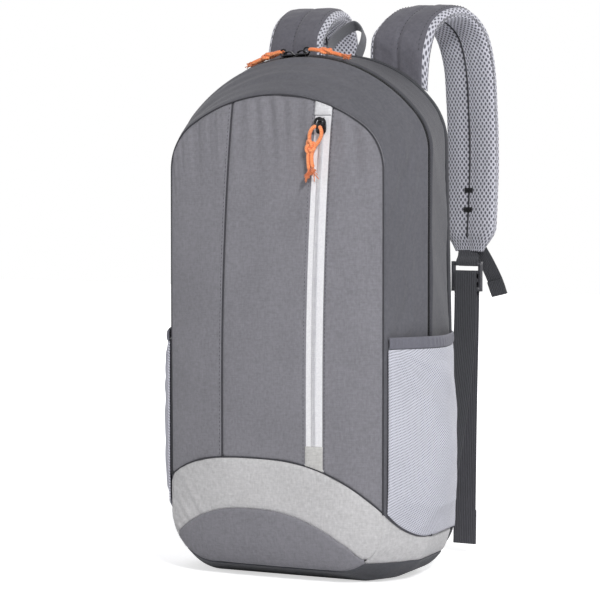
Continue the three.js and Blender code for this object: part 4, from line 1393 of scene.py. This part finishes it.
# --------------------
# Webbing and buckles on each strap: a tab with a four-bar ladder lock of moulded nylon, a short
# grab tab, the adjuster down to an anchor at the back seam, and the free tail, its tip folded.
WEB_WIDTH, WEB_THICK = 20, 1.5
web = ribbed("black webbing", "414247", 1.6, relief=1.0, contrast=0.4)
tail_web = ribbed("tail webbing", "48484e", 1.6, relief=1.0, contrast=0.4)
lock_nylon = plain_nylon("lock nylon", "414146", 0.42)
LOCK = (66.5, 154.5, 226)


def webbing(points, width, across=(1.0, 0, 0), count=90, thick=WEB_THICK, lift=0.0):
    """A band of webbing: a rounded flat section carried along a curve through the points."""
    path = smooth_path(points, count)
    return sweep(path, across, oval(width, thick, 20, 0.45) + [0, lift])


def stitch_row(place, half, count, length=1.2, thick=0.7):
    """A level row of stitches across webbing, on its outer face."""
    k = np.linspace(-half, half, count)
    places = np.asarray(place) + np.stack([k, 0 * k, 0 * k], -1)
    return stitches(places, np.array([[1.0, 0, 0]]), np.array([[0, 1.0, 0]]), length, thick)


def bar(first, last, wide, high):
    """A moulded bar between two points: wide along y, with rounded edges."""
    path = np.linspace(first, last, 8)
    return sweep(path, (0, 1.0, 0), oval(wide, high, 20, 0.55))


for name, side in (("left", -1), ("right", 1)):
    centre = np.array([side * LOCK[0], LOCK[1], LOCK[2]])

    def beside(*points):
        return [(side * x, y, z) for x, y, z in points]

    tab_band = webbing(beside((66, 160.6, 247), (66.2, 159.6, 242), (66.5, 157.7, 237.5),
                              (66.5, 156.4, 234.4)), WEB_WIDTH - 2, count=40)
    front_band = webbing(beside((66, 158.4, 247), (66.2, 156.4, 242), (66.5, 152.9, 238.2),
                                (66.5, 152.4, 234.6)), WEB_WIDTH - 2, count=40)
    box = [stitch_row((side * 66, 161.5, z), 7, 12, 1.1, 0.6) for z in (242.5, 245.5)]
    tab = add_mesh(f"strap tab {name}", [tab_band, front_band] + box, [web])
    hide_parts(f"strap_tab_{name}")

    grab_path = beside((69.5, 167.9, 250), (74, 174, 238), (79, 181, 222), (82, 184, 210))
    grab = add_mesh(f"grab tab {name}", [webbing(grab_path, 14, count=60),
                                         webbing(grab_path[-2:], 14, count=30, lift=-1.4)], [web])
    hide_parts(f"grab_tab_{name}")

    parts = [bar(centre + [12 * k, 0, -12], centre + [12 * k, 0, 12], 4, 3) for k in (-1, 1)]
    for z, high, wide in ((10.2, 3.4, 4), (3.3, 3.0, 3.6), (-3.3, 3.0, 3.6), (-10.2, 3.6, 4.4)):
        parts.append(bar(centre + [-12.6, 0, z], centre + [12.6, 0, z], wide, high))
    ridge = [bar(centre + [-9 + 0 * k, 2.1, -10.2 + k], centre + [9, 2.1, -10.2 + k], 0.8, 0.5)
             for k in (-1.0, 0, 1.0)]
    lock = add_mesh(f"ladder lock {name}", parts + ridge, [lock_nylon])
    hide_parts(f"ladder_lock_{name}")

    adjuster_path = beside((66.5, 151.5, 230), (67, 150.9, 208), (68.5, 146, 176), (72, 131, 138),
                           (78, 106, 98), (84, 82, 73), (86, 70.4, 66.4))
    adjuster = add_mesh(f"adjuster {name}", [webbing(adjuster_path, WEB_WIDTH, count=200)], [web])
    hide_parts(f"adjuster_{name}")
    for piece in (tab, grab, lock, adjuster):
        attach(piece, f"strap_{name}")

    stub = webbing(beside((87, 69.0, 65.0), (87, 69.3, 60), (87, 69.0, 54), (87, 68.0, 48)),
                   WEB_WIDTH + 2, count=40, thick=2.8)
    anchor_rows = [stitch_row((side * 87, 70.7, z), 8.5, 14) for z in (51, 62)]
    anchor = add_mesh(f"webbing anchor {name}", [stub] + anchor_rows, [web])
    settle(anchor, "webbing", "bag", f"webbing_anchor_{name}")

    tail_path = beside((66.5, 157.5, 229), (65.7, 157.8, 186), (64.5, 157.7, 116), (63.5, 157, 8))
    tail_curve = smooth_path(tail_path, 200)
    tip_path = tail_curve[-26:].copy()
    tail_stitch = [stitch_row(tail_curve[k] + [0, 1.1, 0], 8, 13) for k in (-24, -21)]
    tail = add_mesh(f"webbing tail {name}", [webbing(tail_path, WEB_WIDTH, count=240),
                                             webbing(tip_path, WEB_WIDTH, count=40, lift=1.35)]
                    + tail_stitch, [tail_web])
    settle(tail, "webbing", f"tail_{name}", f"webbing_tail_{name}")

# --------------------
# Haul loop: a short band of grey webbing, both ends sewn into the back seam at its top.
grey_web = ribbed("haul loop webbing", "6a6b70", 1.2, relief=0.7, contrast=0.2)
haul_path = [(13, 67.5, 401.0), (14, 74.5, 413), (9, 83.5, 422), (0, 87.5, 427),
             (-9, 83.5, 422), (-14, 74.5, 413), (-13, 67.5, 401.0)]
haul = add_mesh("haul loop", [webbing(haul_path, 10, (0, 0.69, -0.72), 140)], [grey_web])
settle(haul, "webbing", "haul_loop", "haul_loop")
